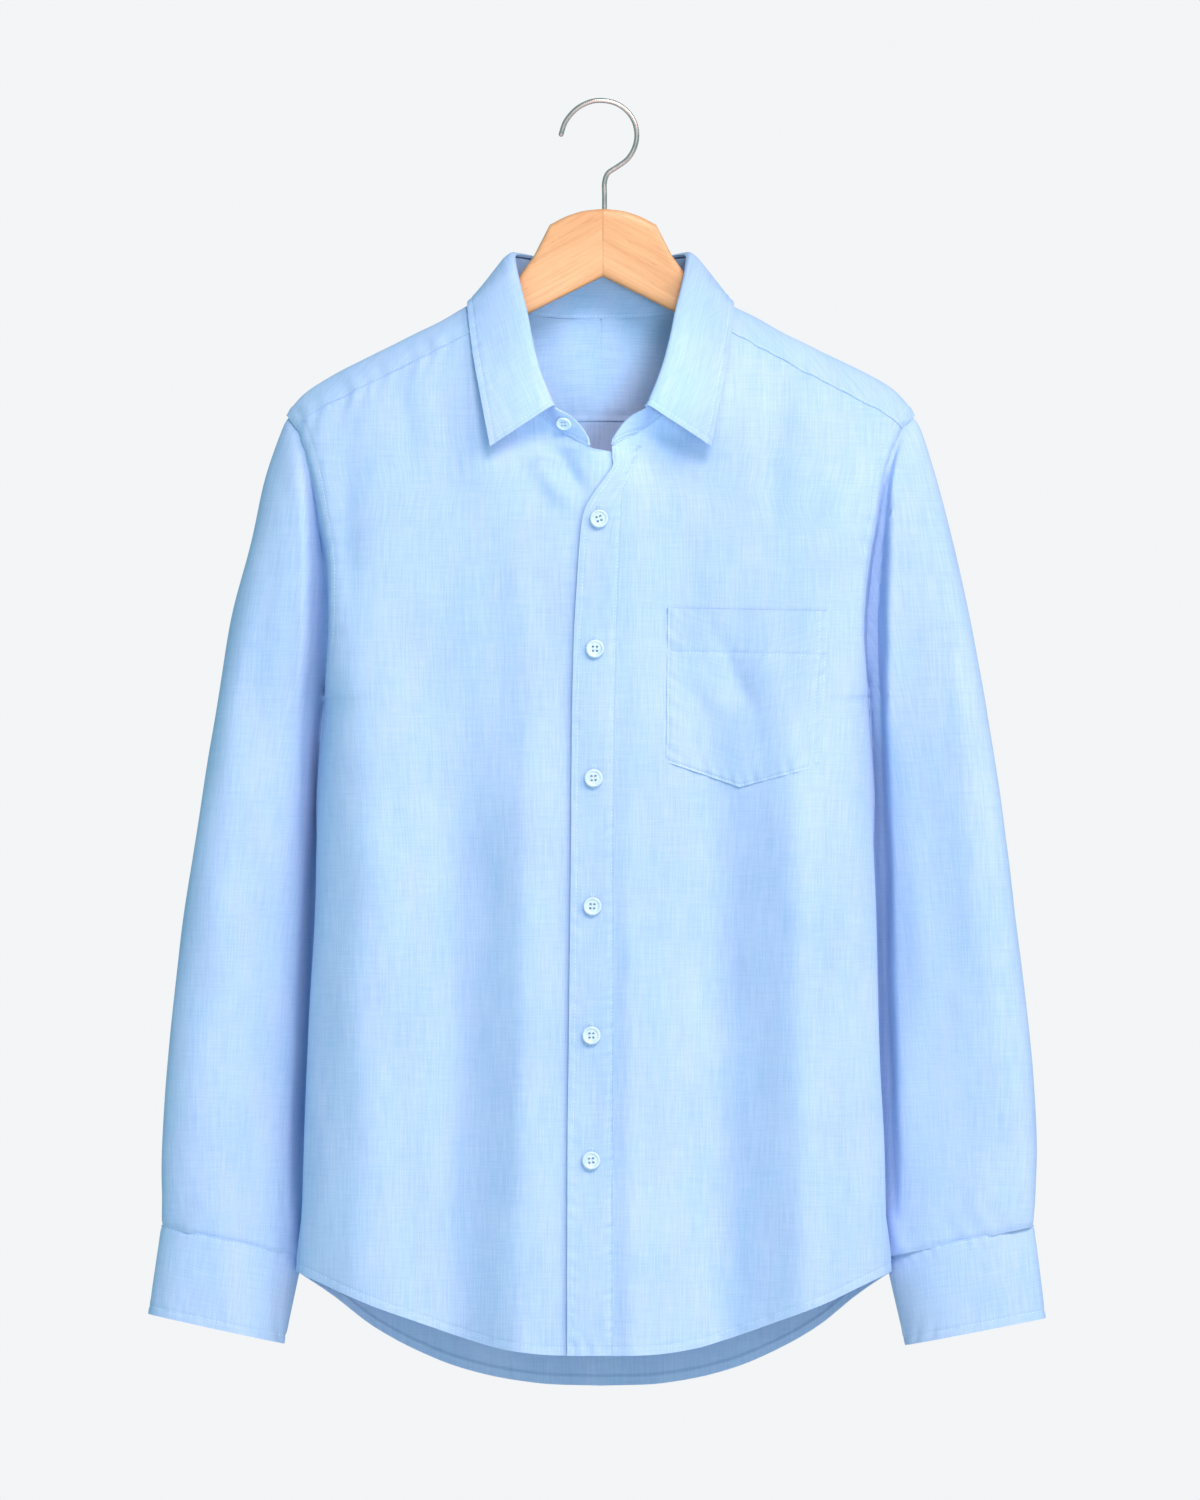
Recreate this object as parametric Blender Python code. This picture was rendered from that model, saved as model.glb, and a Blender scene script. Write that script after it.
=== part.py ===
"""A long-sleeved linen shirt, hanging closed but for its collar on a wooden hanger.

Sizes are in millimetres and are turned into metres when a mesh is made. The shirt faces -Y, +Z is up,
and the origin is the inside crest of the hanger's hook, where the hook hangs. "Right" and "left" are
the wearer's: the right half is at -X.
"""

import bisect
import math

import bmesh
import bpy
from mathutils import Vector

MM = 0.001
RIGHT, LEFT = -1, 1
FRONT, BACK = -1, 1

# Walls and gaps
WALL = 1.2
DOUBLE_WALL = 1.8
GAP = 0.3
SEAM_INSET = 0.2
LAP_STEP = 1.8
LAP_FLAT = 14.0
LAP_FADE = 42.0
PLACKET_STEP = 1.55
POCKET_STEP = 2.0

# Shirt body
MIDDLE_X = -1.6
SHOULDER_X = 220.3
SHOULDER_Z = -219.0
FALL = 140.0
FALL_POWER = 0.6
FOLD_RISE = 1.3
FRONT_HEM_Z = -877.5
BACK_HEM_Z = -900.2
UNDERARM_MIDDLE_Z = -440.0
LOWER_ROWS = 10
YOKE_BACK_Z = -221.0
YOKE_BOW = 2.0
# rows of the yoke that cross the middle of the back, and rows over which it turns in
YOKE_MIDDLE_ROWS = 2
YOKE_TURN_ROWS = 5
# rows of the yoke beside the ridge, and how fast they close in on it
YOKE_HUG = {4: 1.6, 5: 2.6, 6: 5.0, 8: 3.5}
BUTTON_STAND_X = 9.6
# how far the left front's edge stays back under the placket
UNDER_PLACKET = 1.5
# how late the fronts' rows turn parallel to the shoulder
FRONT_TURN = 3

# out from the middle, height of the cloth over the hanger
SHOULDER_LINE = (
    (0.0, -112.0),
    (36.0, -116.9),
    (72.0, -131.5),
    (94.5, -143.3),
    (127.0, -160.5),
    (171.0, -183.0),
    (201.0, -198.8),
    (213.0, -209.3),
    (SHOULDER_X, SHOULDER_Z),
)

# height, right half width, left half width, depth of the front, depth of the back, squareness
BODY = (
    (-900.0, 215.0, 205.0, 46.0, 48.0, 3.6),
    (-818.0, 213.4, 203.4, 47.0, 48.0, 3.8),
    (-700.0, 208.9, 199.6, 50.0, 50.0, 4.2),
    (-612.0, 204.9, 196.2, 52.0, 51.0, 4.8),
    (-540.0, 201.4, 193.9, 53.0, 52.0, 6.0),
    (-452.0, 196.5, 190.2, 54.0, 52.0, 9.0),
    (-418.0, 193.9, 188.1, 54.0, 52.0, 11.0),
    (-300.0, 191.0, 186.0, 53.0, 51.0, 11.0),
    (-110.0, 191.0, 186.0, 51.0, 49.0, 8.0),
)
BODY_RIGHT, BODY_LEFT, BODY_FRONT, BODY_BACK, BODY_SQUARE = 1, 2, 3, 4, 5

# drop below the shoulder's end, inward on the right, inward on the left, half depth
ARMHOLE = (
    (0.0, 0.0, 0.0, 0.0),
    (4.0, 3.5, 4.2, 7.5),
    (9.0, 7.0, 9.0, 12.5),
    (24.0, 13.5, 16.0, 22.0),
    (45.0, 20.0, 22.0, 29.5),
    (72.0, 24.7, 27.0, 34.5),
    (112.0, 30.0, 34.0, 37.5),
    (149.0, 30.5, 36.5, 35.5),
    (170.0, 29.5, 35.5, 30.0),
    (186.0, 28.0, 34.0, 20.5),
    (195.6, 27.0, 32.8, 10.0),
    (199.0, 26.4, 32.2, 0.0),
)
UNDERARM_DROP = 199.0
SIDE_DROPS = (199.0, 195.6, 186.0, 170.0, 149.0, 125.0, 99.5, 72.0, 58.0, 45.0)
FRONT_YOKE_DROPS = (34.0, 24.0, 16.0, 9.0)
RIDGE_FRONT_DROPS = (4.0,)
RIDGE_BACK_DROPS = (36.5, 28.5, 21.0, 14.5, 9.0, 4.0, 0.0)
YOKE_ROWS = len(RIDGE_BACK_DROPS) + len(RIDGE_FRONT_DROPS) + 2

# share of the half width, rise of the front hem, rise of the back hem
HEM = (
    (0.0, 0.0, 0.0),
    (0.15, 0.5, 0.7),
    (0.30, 4.0, 4.5),
    (0.45, 12.5, 12.0),
    (0.60, 23.5, 24.5),
    (0.75, 35.0, 42.0),
    (0.88, 47.0, 63.5),
    (1.0, 58.5, 81.2),
)

# out from the middle, height: where the stand is sewn on; then the fold of the collar: out, forward,
# height; then the leaf's outer edge: out, forward, height
NECK = (
    (0.0, -151.0, 0.0, 30.0, -112.0, 0.0, 46.0, -160.0),
    (17.0, -150.8, 16.0, 29.5, -111.5, 24.0, 45.5, -160.0),
    (34.0, -150.0, 31.0, 27.0, -110.0, 47.0, 43.0, -159.0),
    (50.0, -147.8, 45.0, 22.0, -108.0, 68.0, 37.0, -155.5),
    (64.0, -142.0, 56.0, 13.0, -106.5, 84.0, 25.0, -148.5),
    (73.0, -132.0, 60.0, 2.0, -107.5, 91.5, 10.0, -141.0),
    (76.5, -141.5, 59.0, -8.0, -116.0, 93.0, -5.0, -140.3),
    (77.0, -153.0, 56.0, -17.0, -130.0, 92.6, -17.5, -150.0),
    (75.0, -169.0, 51.5, -26.0, -148.0, 90.8, -29.5, -166.0),
    (69.0, -186.0, 48.0, -35.0, -166.0, 88.3, -40.0, -183.0),
    (59.0, -202.0, 43.5, -43.0, -184.0, 85.0, -48.0, -201.0),
    (45.0, -217.0, 37.5, -49.5, -200.0, 81.5, -53.5, -220.0),
    (30.0, -229.5, 31.5, -54.0, -213.0, 77.4, -57.5, -241.5),
    (8.0, -241.5, 7.6, -54.5, -238.5, 0.0, 0.0, 0.0),
)
NECK_RIDGE_ROW = 5
NECK_YOKE_ROW = 7
LEAF_END_ROW = 12
# share of the way to the stand's end, fold: out, forward, height
STAND_END = (
    (0.36, 21.0, -56.0, -218.0),
    (0.68, 12.8, -56.5, -226.0),
    (0.90, 8.8, -56.0, -232.5),
)
STAND_LIFT = 1.0
STAND_ROWS = 3
# columns at the stand's right end, where its button is
STAND_FRONT_COLUMNS = 8
# share of the way to the outer edge, lift, belly
LEAF_ROLL = (
    (0.0, -0.7, 0.0),
    (0.03, 0.6, 2.4),
    (0.10, 0.6, 3.6),
    (0.30, 0.0, 3.8),
    (0.55, 0.0, 2.8),
    (0.80, 0.0, 1.3),
    (1.0, 0.0, 0.0),
)
STAND_UNDER_FOLD = 2.5

# height, left edge, stitched edge: the strip with the buttonholes
PLACKET = (
    (-877.5, -23.6, 8.6),
    (-736.0, -23.4, 8.8),
    (-649.0, -22.3, 9.3),
    (-534.0, -21.0, 9.3),
    (-441.0, -20.2, 10.0),
    (-377.0, -18.9, 11.4),
    (-337.0, -16.8, 12.8),
    (-301.0, -14.1, 14.2),
    (-287.0, -11.7, 14.8),
    (-275.0, -5.6, 15.3),
    (-265.0, 1.6, 19.0),
    (-255.0, 7.6, 23.0),
    (-247.0, 9.4, 26.4),
    (-240.5, 7.0, 29.2),
)
PLACKET_TOP_Z = -241.0
PLACKET_FOOT_Z = -877.3
PLACKET_ROWS = 24
PLACKET_COLUMNS = 3
# how much closer the strip's rows lie towards its top
PLACKET_CROWD = 1.6
UNDER_CLOSING_HEIGHTS = (-405.0, -370.0, -335.0, -302.0, -272.0, -247.0)
OVER_CLOSING_HEIGHTS = (-405.0, -370.0, -335.0, -305.0, -282.0, -262.0)

# share of the way from the closing to the side
COLUMNS = (0.0, 0.09, 0.19, 0.30, 0.41, 0.52, 0.63, 0.73, 0.82, 0.895, 0.95, 0.985, 1.0)

# out from the middle at the top, at the hem, height where it starts, height where it ends, size, half width
FRONT_FOLDS = (
    (-80.0, -90.0, -470.0, -900.0, -5.0, 22.0),
    (-128.0, -150.0, -430.0, -900.0, 3.5, 26.0),
    (-42.0, -48.0, -560.0, -900.0, 2.0, 18.0),
    (98.0, 118.0, -500.0, -900.0, -5.5, 24.0),
    (55.0, 66.0, -560.0, -900.0, 2.2, 22.0),
    (150.0, 160.0, -470.0, -900.0, 2.5, 20.0),
)
BACK_FOLDS = (
    (-105.0, -118.0, -330.0, -900.0, -6.0, 26.0),
    (-50.0, -40.0, -420.0, -900.0, 4.0, 24.0),
    (30.0, 52.0, -380.0, -900.0, -5.0, 26.0),
    (118.0, 126.0, -300.0, -900.0, 4.5, 28.0),
)

# outer height, inner height, inner edge past the body's edge, outer back, inner back, half depth
SLEEVE = (
    (-243.0, -429.0, 3.6, 0.0, 3.0, 39.0),
    (-275.0, -442.0, 2.8, 1.0, 8.0, 40.0),
    (-313.0, -458.0, 1.2, 2.0, 14.0, 40.5),
    (-352.0, -477.0, -1.0, 3.0, 21.0, 40.5),
    (-392.0, -499.0, -2.4, 4.0, 25.0, 40.0),
    (-432.0, -524.0, -3.0, 5.0, 27.0, 39.0),
    (-475.0, -553.0, -3.0, 6.0, 27.0, 37.5),
    (-520.0, -586.0, -3.0, 7.0, 27.0, 36.0),
    (-565.0, -621.0, -3.0, 7.0, 26.0, 34.5),
    (-610.0, -657.0, -3.0, 8.0, 26.0, 33.0),
    (-655.0, -695.0, -3.0, 9.0, 26.0, 31.5),
    (-700.0, -733.0, -3.0, 10.0, 26.0, 30.0),
    (-742.0, -769.0, -3.0, 11.0, 26.0, 28.0),
    (-770.0, -793.0, -3.0, 12.0, 26.0, 26.5),
    (-786.5, -807.5, -3.0, 13.0, 25.0, 25.0),
)
SLEEVE_BLEND = (0.3, 0.62, 0.88)
# height, right outer edge, left outer edge
SLEEVE_EDGE = (
    (-787.0, 307.3, 302.9),
    (-740.0, 307.4, 305.2),
    (-693.0, 305.0, 303.6),
    (-624.0, 298.0, 296.9),
    (-556.0, 289.6, 288.6),
    (-488.0, 279.1, 280.2),
    (-421.0, 268.1, 269.3),
    (-377.0, 260.6, 261.3),
    (-330.0, 251.0, 252.6),
    (-300.0, 244.1, 245.8),
    (-265.0, 236.9, 237.6),
    (-241.0, 228.7, 231.0),
    (-219.0, 220.4, 220.6),
)
# space at the armhole seam, at the underarm, and the drop from which it widens
SLEEVE_SEAM = 0.6
UNDERARM_SEAM = 2.1
UNDERARM_FROM = 120.0

# Cuffs
CUFF_SEAM = 0.15
CUFF_POINTS = 26
CUFF_ROWS = 3
CUFF_START = math.radians(-118.0)
CUFF_LAP = math.radians(34.0)
# share of the strip where its end lifts over its start, and share it takes
CUFF_LIFT_FROM = 0.8
CUFF_LIFT_LENGTH = 0.1
CUFF_BUTTON_COLUMN = CUFF_POINTS - 2
# side, outer top, inner top, outer foot, inner foot
CUFFS = {
    RIGHT: ((307.3, -786.5), (209.9, -807.5), (316.6, -849.1), (222.8, -869.8)),
    LEFT: ((302.9, -786.5), (200.2, -807.5), (311.7, -851.9), (214.4, -871.0)),
}
CUFF_BACK = (13.0, 25.0)
CUFF_DEPTH = 25.0

# out from the middle, height: the pocket's corners
POCKET_TOP = ((46.8, -354.2), (159.8, -356.7))
POCKET_FOOT = ((45.5, -462.0), (97.9, -479.5), (153.8, -464.8))
POCKET_COLUMNS = 10
POCKET_ROWS = 9

# Buttons: out from the middle, height
BUTTON_SPOTS = (
    (-1.2, -291.9),
    (-4.0, -382.9),
    (-5.0, -473.2),
    (-5.9, -562.8),
    (-6.5, -653.1),
    (-6.8, -740.6),
)
# radius, height above the back of the button
BUTTON_PROFILE = ((5.4, 0.0), (6.45, 0.9), (6.2, 2.2), (5.3, 2.5), (4.2, 1.7))
BUTTON_SIDES = 18
BUTTON_HOLE = 0.85
BUTTON_HOLE_OUT = 1.35
BUTTON_HOLE_SIDES = 5
BUTTON_CUT = (-1.0, 4.0)
SMALL_BUTTON = 0.85
COLLAR_BUTTON = (-25.6, -224.5)

# Hanger: out from the middle, top, foot, half thickness, squareness of the section
HANGER = (
    (0.15, -74.2, -121.8, 6.5, 5.0),
    (12.0, -75.4, -127.8, 6.5, 5.0),
    (25.0, -79.2, -134.2, 6.6, 5.0),
    (37.3, -85.4, -140.4, 6.8, 5.0),
    (48.4, -107.1, -146.0, 7.0, 5.0),
    (57.8, -119.9, -150.6, 7.0, 4.0),
    (66.0, -130.5, -155.0, 6.6, 2.4),
    (76.0, -137.5, -160.5, 6.8, 2.0),
    (94.0, -145.3, -169.5, 7.6, 2.0),
    (130.0, -164.4, -187.0, 8.4, 2.0),
    (165.0, -182.5, -203.0, 8.6, 2.0),
    (187.0, -194.1, -213.0, 8.6, 2.0),
    (196.0, -199.8, -214.5, 7.6, 2.0),
    (200.5, -205.0, -211.5, 3.8, 2.0),
)
HANGER_POINTS = 16
ARM_START = 57.8
ARM_MATCH = 94.0
WIRE_RADIUS = 1.75
WIRE_SIDES = 10
BORE_CLEARANCE = 0.3
BORE_FOOT = -97.0
BORE_TOP = -60.0
WIRE_FOOT = -96.5
STEM_X = 1.05
# out, height: the middle of the wire from its tip
HOOK = (
    (-29.4, -22.1),
    (-26.2, -13.0),
    (-18.9, -4.4),
    (-9.9, 0.5),
    (-1.4, 1.75),
    (8.3, 0.0),
    (16.4, -5.2),
    (21.9, -13.2),
    (23.7, -22.5),
    (22.0, -31.5),
    (17.2, -39.3),
    (9.6, -45.0),
    (3.4, -49.3),
    (STEM_X, -56.0),
    (STEM_X, -66.0),
    (STEM_X, WIRE_FOOT),
)
HOOK_STEPS = 2
WIRE_TIP = 0.6

# Colours: red, green, blue, roughness, metallic
LINEN = (0.42, 0.66, 0.93, 0.85, 0.0)
BUTTON_COLOUR = (0.62, 0.78, 0.94, 0.35, 0.0)
BEECH = (0.85, 0.56, 0.30, 0.5, 0.0)
STEEL = (0.62, 0.62, 0.62, 0.28, 1.0)


def clear_scene():
    """Remove every object that is in the scene."""
    for item in list(bpy.data.objects):
        bpy.data.objects.remove(item, do_unlink=True)


def smooth(share):
    """A soft step from 0 to 1."""
    share = min(max(share, 0.0), 1.0)
    return share * share * (3.0 - 2.0 * share)


def slopes(keys, values):
    """Slopes at a table's rows that keep its curve from overshooting."""
    steps = [
        (values[i + 1] - values[i]) / (keys[i + 1] - keys[i]) for i in range(len(keys) - 1)
    ]
    found = [steps[0]]
    for before, after in zip(steps, steps[1:]):
        found.append(0.0 if before * after <= 0 else 2 * before * after / (before + after))
    return found + [steps[-1]]


def read(table, at, column):
    """A column of a table at a value of its first column, on a smooth curve."""
    rows = sorted(table)
    keys = [row[0] for row in rows]
    values = [row[column] for row in rows]
    if at <= keys[0]:
        return values[0]
    if at >= keys[-1]:
        return values[-1]
    i = bisect.bisect_right(keys, at) - 1
    width = keys[i + 1] - keys[i]
    t = (at - keys[i]) / width
    slope = slopes(keys, values)
    ease = t * t * (3 - 2 * t)
    start = t * (1 - t) * (1 - t) * width * slope[i]
    end = -t * t * (1 - t) * width * slope[i + 1]
    return values[i] + (values[i + 1] - values[i]) * ease + start + end


def shoulder(x):
    """Height of the shoulder line at a distance from the middle."""
    return read(SHOULDER_LINE, abs(x), 1)


def half_width(side, z):
    """Half width of the body at a height."""
    return read(BODY, z, BODY_RIGHT if side == RIGHT else BODY_LEFT)


def folds(table, x, z):
    """How far the long soft folds bring the cloth out."""
    total = 0.0
    for top_x, hem_x, top_z, hem_z, size, half in table:
        share = (z - top_z) / (hem_z - top_z)
        middle = top_x + (hem_x - top_x) * share
        total += size * smooth(share * FOLD_RISE) * math.exp(-(((x - middle) / half) ** 2))
    return total


def chest(x, z, face):
    """Where the cloth hangs, forward or back, away from the sides."""
    depth = read(BODY, z, BODY_FRONT if face == FRONT else BODY_BACK)
    left = 1 - min(max(shoulder(x) - z, 0.0) / FALL, 1.0)
    table = FRONT_FOLDS if face == FRONT else BACK_FOLDS
    return face * (depth * (1 - left * left) ** FALL_POWER + folds(table, x, z))


def armhole(side, drop, face):
    """A point of the armhole seam at a drop below the shoulder's end."""
    inward = read(ARMHOLE, drop, 1 if side == RIGHT else 2)
    return Vector((side * (SHOULDER_X - inward), face * read(ARMHOLE, drop, 3), SHOULDER_Z - drop))


def cloth_point(x, z, face, outer):
    """A point of a row of cloth that ends at an outer point, rounded over towards it."""
    share = min(abs(x) / abs(outer.x), 1.0)
    rounding = math.sqrt(max(1 - share ** read(BODY, z, BODY_SQUARE), 0.0))
    return Vector((x, outer.y + (chest(x, z, face) - outer.y) * rounding, z))


def lower_row(side, face, share, inner_x):
    """A row below the armholes: share 0 is the hem and 1 the underarm."""
    hem_z, column = (FRONT_HEM_Z, 1) if face == FRONT else (BACK_HEM_Z, 2)
    side_z = (1 - share) * (hem_z + HEM[-1][column]) + share * (SHOULDER_Z - UNDERARM_DROP)
    outer = Vector((side * half_width(side, side_z), 0.0, side_z))
    points = []
    for f in COLUMNS:
        x = inner_x + (outer.x - inner_x) * f
        hem = hem_z + read(HEM, min(abs(x / outer.x), 1.0), column)
        under = UNDERARM_MIDDLE_Z + (SHOULDER_Z - UNDERARM_DROP - UNDERARM_MIDDLE_Z) * f
        points.append(cloth_point(x, (1 - share) * hem + share * under, face, outer))
    return points


def upper_row(inner, outer, face, shoulder_share, bow=1.0, hug=1.0):
    """A row above the underarm, from an inner (x, z) to a point of the armhole."""
    inner_drop = shoulder(inner[0]) - inner[1]
    outer_drop = shoulder(outer.x) - outer.z
    points = []
    for f in COLUMNS:
        x = inner[0] + (outer.x - inner[0]) * f
        straight = inner[1] + (outer.z - inner[1]) * f**bow
        way = 1 - (1 - f) ** hug
        along = shoulder(x) - inner_drop - (outer_drop - inner_drop) * way
        z = straight + (along - straight) * shoulder_share
        points.append(cloth_point(x, z, face, outer))
    return points


def yoke_row(side, row):
    """A row of the yoke, from the back seam (row 0) over the shoulder to the front seam."""
    drops = (SIDE_DROPS[-1],) + RIDGE_BACK_DROPS + RIDGE_FRONT_DROPS + FRONT_YOKE_DROPS[-1:]
    last = len(drops) - 1
    face = BACK if row <= len(RIDGE_BACK_DROPS) else FRONT
    outer = armhole(side, drops[row], face)
    if row < YOKE_MIDDLE_ROWS:
        inner = (0.0, YOKE_BACK_Z + (NECK[0][1] - YOKE_BACK_Z) * row / YOKE_MIDDLE_ROWS)
    else:
        neck = NECK[row - YOKE_MIDDLE_ROWS]
        inner = (side * neck[0], neck[1])
    bow = YOKE_BOW + (1 - YOKE_BOW) * row / last
    return upper_row(inner, outer, face, smooth(row / YOKE_TURN_ROWS), bow, YOKE_HUG.get(row, 1.0))


def closing_edge(side, z):
    """The front's edge in the closing: the button stand on the right, under the placket on the left."""
    if side == RIGHT:
        return BUTTON_STAND_X
    return read(PLACKET, z, 1) + UNDER_PLACKET


def lap(x):
    """How far the left front lies in front of the right one."""
    return LAP_STEP * (1 - smooth((x - LAP_FLAT) / LAP_FADE))


def front_grid(side):
    """Rows of a front from the hem to the yoke seam."""
    rows = []
    for i in range(LOWER_ROWS):
        share = i / LOWER_ROWS
        z = FRONT_HEM_Z + (UNDERARM_MIDDLE_Z - FRONT_HEM_Z) * share
        rows.append(lower_row(side, FRONT, share, closing_edge(side, z)))
    heights = UNDER_CLOSING_HEIGHTS if side == RIGHT else OVER_CLOSING_HEIGHTS
    inner = [(closing_edge(side, z), z) for z in (UNDERARM_MIDDLE_Z,) + heights]
    inner += [(side * row[0], row[1]) for row in NECK[: NECK_YOKE_ROW - 1 : -1]]
    drops = SIDE_DROPS + FRONT_YOKE_DROPS
    for i, drop in enumerate(drops[:-1]):
        outer = armhole(side, drop, FRONT)
        rows.append(upper_row(inner[i], outer, FRONT, (i / (len(drops) - 1)) ** FRONT_TURN))
    rows.append(yoke_row(side, YOKE_ROWS - 1))
    if side == LEFT:
        rows = [[p - Vector((0, lap(p.x), 0)) for p in row] for row in rows]
    return rows


def back_grid():
    """Rows of the back from the hem to the yoke seam, from the right side to the left."""
    rows = []
    for i in range(LOWER_ROWS):
        halves = [lower_row(side, BACK, i / LOWER_ROWS, 0.0) for side in (RIGHT, LEFT)]
        rows.append(halves[0][::-1] + halves[1][1:])
    last = len(SIDE_DROPS) - 1
    for i, drop in enumerate(SIDE_DROPS[:-1]):
        middle = (0.0, UNDERARM_MIDDLE_Z + (YOKE_BACK_Z - UNDERARM_MIDDLE_Z) * i / last)
        bow = 1 + (YOKE_BOW - 1) * (i / last) ** 2
        halves = [
            upper_row(middle, armhole(side, drop, BACK), BACK, 0.0, bow)
            for side in (RIGHT, LEFT)
        ]
        rows.append(halves[0][::-1] + halves[1][1:])
    halves = [yoke_row(side, 0) for side in (RIGHT, LEFT)]
    rows.append(halves[0][::-1] + halves[1][1:])
    return rows


def inset(rows, first=0.0, last=0.0, start=0.0, end=0.0):
    """Pull a grid's edges in: first and last row, start and end of each row."""
    moved = [[p.copy() for p in row] for row in rows]
    for j in range(len(rows[0])):
        moved[0][j] += (rows[1][j] - rows[0][j]).normalized() * first
        moved[-1][j] += (rows[-2][j] - rows[-1][j]).normalized() * last
    for i, row in enumerate(rows):
        moved[i][0] += (row[1] - row[0]).normalized() * start
        moved[i][-1] += (row[-2] - row[-1]).normalized() * end
    return moved


def grid_faces(rows, columns, offset=0, closed=False):
    """Quads of a grid of points."""
    wrap = columns if closed else columns - 1
    faces = []
    for i in range(rows - 1):
        for j in range(wrap):
            k = (j + 1) % columns
            a, b = offset + i * columns, offset + (i + 1) * columns
            faces.append((a + j, a + k, b + k, b + j))
    return faces


def make_material(name, look):
    """A plain material with the colour, roughness and metallic of a look."""
    material = bpy.data.materials.new(name)
    material.use_nodes = True
    shader = material.node_tree.nodes["Principled BSDF"]
    shader.inputs["Base Color"].default_value = (look[0], look[1], look[2], 1.0)
    shader.inputs["Roughness"].default_value = look[3]
    shader.inputs["Metallic"].default_value = look[4]
    return material


def add_object(name, mesh, look, parent, shift_x=0.0):
    """Put a mesh in the scene with its own material."""
    item = bpy.data.objects.new(name, mesh)
    item.location.x = shift_x * MM
    mesh.materials.clear()
    mesh.materials.append(make_material(name + "_material", look))
    item.parent = parent
    bpy.context.scene.collection.objects.link(item)
    return item


def closed_mesh(name, points, faces):
    """A mesh from points in millimetres, with its faces turned outwards and shaded smooth."""
    mesh = bpy.data.meshes.new(name)
    mesh.from_pydata([tuple(p * MM) for p in points], [], faces)
    work = bmesh.new()
    work.from_mesh(mesh)
    bmesh.ops.remove_doubles(work, verts=work.verts, dist=1e-7)
    bmesh.ops.recalc_face_normals(work, faces=work.faces)
    for face in work.faces:
        face.smooth = True
    work.to_mesh(mesh)
    work.free()
    return mesh


def thicken(points, faces, wall, flat_ends=()):
    """A closed wall around an open sheet of points; flat ends keep their normals level with X."""
    work = bmesh.new()
    corners = [work.verts.new(p) for p in points]
    for face in faces:
        work.faces.new([corners[i] for i in face])
    work.normal_update()
    normals = [v.normal.copy() for v in corners]
    rims = [
        (edge.link_loops[0].vert.index, edge.link_loops[0].link_loop_next.vert.index)
        for edge in index_edges(work)
    ]
    work.free()
    for i in flat_ends:
        normals[i] = Vector((normals[i].x, 0.0, normals[i].z)).normalized()
    count = len(points)
    outside = [p + n * wall / 2 for p, n in zip(points, normals)]
    inside = [p - n * wall / 2 for p, n in zip(points, normals)]
    both = list(faces) + [tuple(i + count for i in reversed(face)) for face in faces]
    both += [(b, a, a + count, b + count) for a, b in rims]
    return outside + inside, both


def index_edges(work):
    """The open edges of a bmesh, with its points numbered."""
    work.verts.index_update()
    return [edge for edge in work.edges if edge.is_boundary]


def sheet_mesh(name, rows, wall, closed=False, flat_ends=False):
    """A cloth wall around a grid of points."""
    columns = len(rows[0])
    points = [p for row in rows for p in row]
    faces = grid_faces(len(rows), columns, closed=closed)
    ends = []
    if flat_ends:
        lower = range(LOWER_ROWS + 1)
        ends = [i * columns + j for i in lower for j in (0, columns - 1)]
        ends = [i for i in ends if abs(points[i].y) < SEAM_INSET * 2]
    return closed_mesh(name, *thicken(points, faces, wall, ends))


def surface_point(rows, x, z):
    """The point of a grid's flat cells at an x and a height, and its unit normal facing -Y."""
    best, found = -1e9, None
    for i in range(len(rows) - 1):
        for j in range(len(rows[0]) - 1):
            a, b, c, d = rows[i][j], rows[i][j + 1], rows[i + 1][j + 1], rows[i + 1][j]
            for tri in ((a, b, c), (a, c, d)):
                shares = plane_shares(tri, x, z)
                if shares and min(shares) > best:
                    best = min(shares)
                    found = (tri, shares)
    tri, shares = found
    point = sum((p * s for p, s in zip(tri, shares)), Vector())
    normal = (tri[1] - tri[0]).cross(tri[2] - tri[0]).normalized()
    return point, normal if normal.y < 0 else -normal


def plane_shares(tri, x, z):
    """Shares of a triangle's corners at an x and a height, seen from the front."""
    (ax, _, az), (bx, _, bz), (cx, _, cz) = tri
    area = (bx - ax) * (cz - az) - (cx - ax) * (bz - az)
    if abs(area) < 1e-9:
        return None
    v = ((x - ax) * (cz - az) - (cx - ax) * (z - az)) / area
    w = ((bx - ax) * (z - az) - (x - ax) * (bz - az)) / area
    return (1 - v - w, v, w)


def placket_grid(front):
    """The strip on the edge of the left front, made from that front's points moved out."""
    rows = []
    for i in range(PLACKET_ROWS + 1):
        share = 1 - (1 - i / PLACKET_ROWS) ** PLACKET_CROWD
        row = []
        for j in range(PLACKET_COLUMNS + 1):
            z = PLACKET_FOOT_Z + (PLACKET_TOP_Z - PLACKET_FOOT_Z) * share
            left, right = read(PLACKET, z, 1), read(PLACKET, z, 2)
            x = left + (right - left) * j / PLACKET_COLUMNS
            point, normal = surface_point(front, x, z)
            row.append(point + normal * PLACKET_STEP)
        rows.append(row)
    return rows


def pocket_grid(front):
    """The chest pocket, made from the left front's points moved out."""
    rows = []
    for i in range(POCKET_ROWS + 1):
        share = i / POCKET_ROWS
        row = []
        for j in range(POCKET_COLUMNS + 1):
            across = j / POCKET_COLUMNS
            x = POCKET_TOP[0][0] + (POCKET_TOP[1][0] - POCKET_TOP[0][0]) * across
            top_z = POCKET_TOP[0][1] + (POCKET_TOP[1][1] - POCKET_TOP[0][1]) * across
            foot_x, foot_z = pocket_foot(across)
            x = foot_x + (x - foot_x) * share
            point, normal = surface_point(front, x, foot_z + (top_z - foot_z) * share)
            row.append(point + normal * POCKET_STEP)
        rows.append(row)
    return rows


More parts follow.
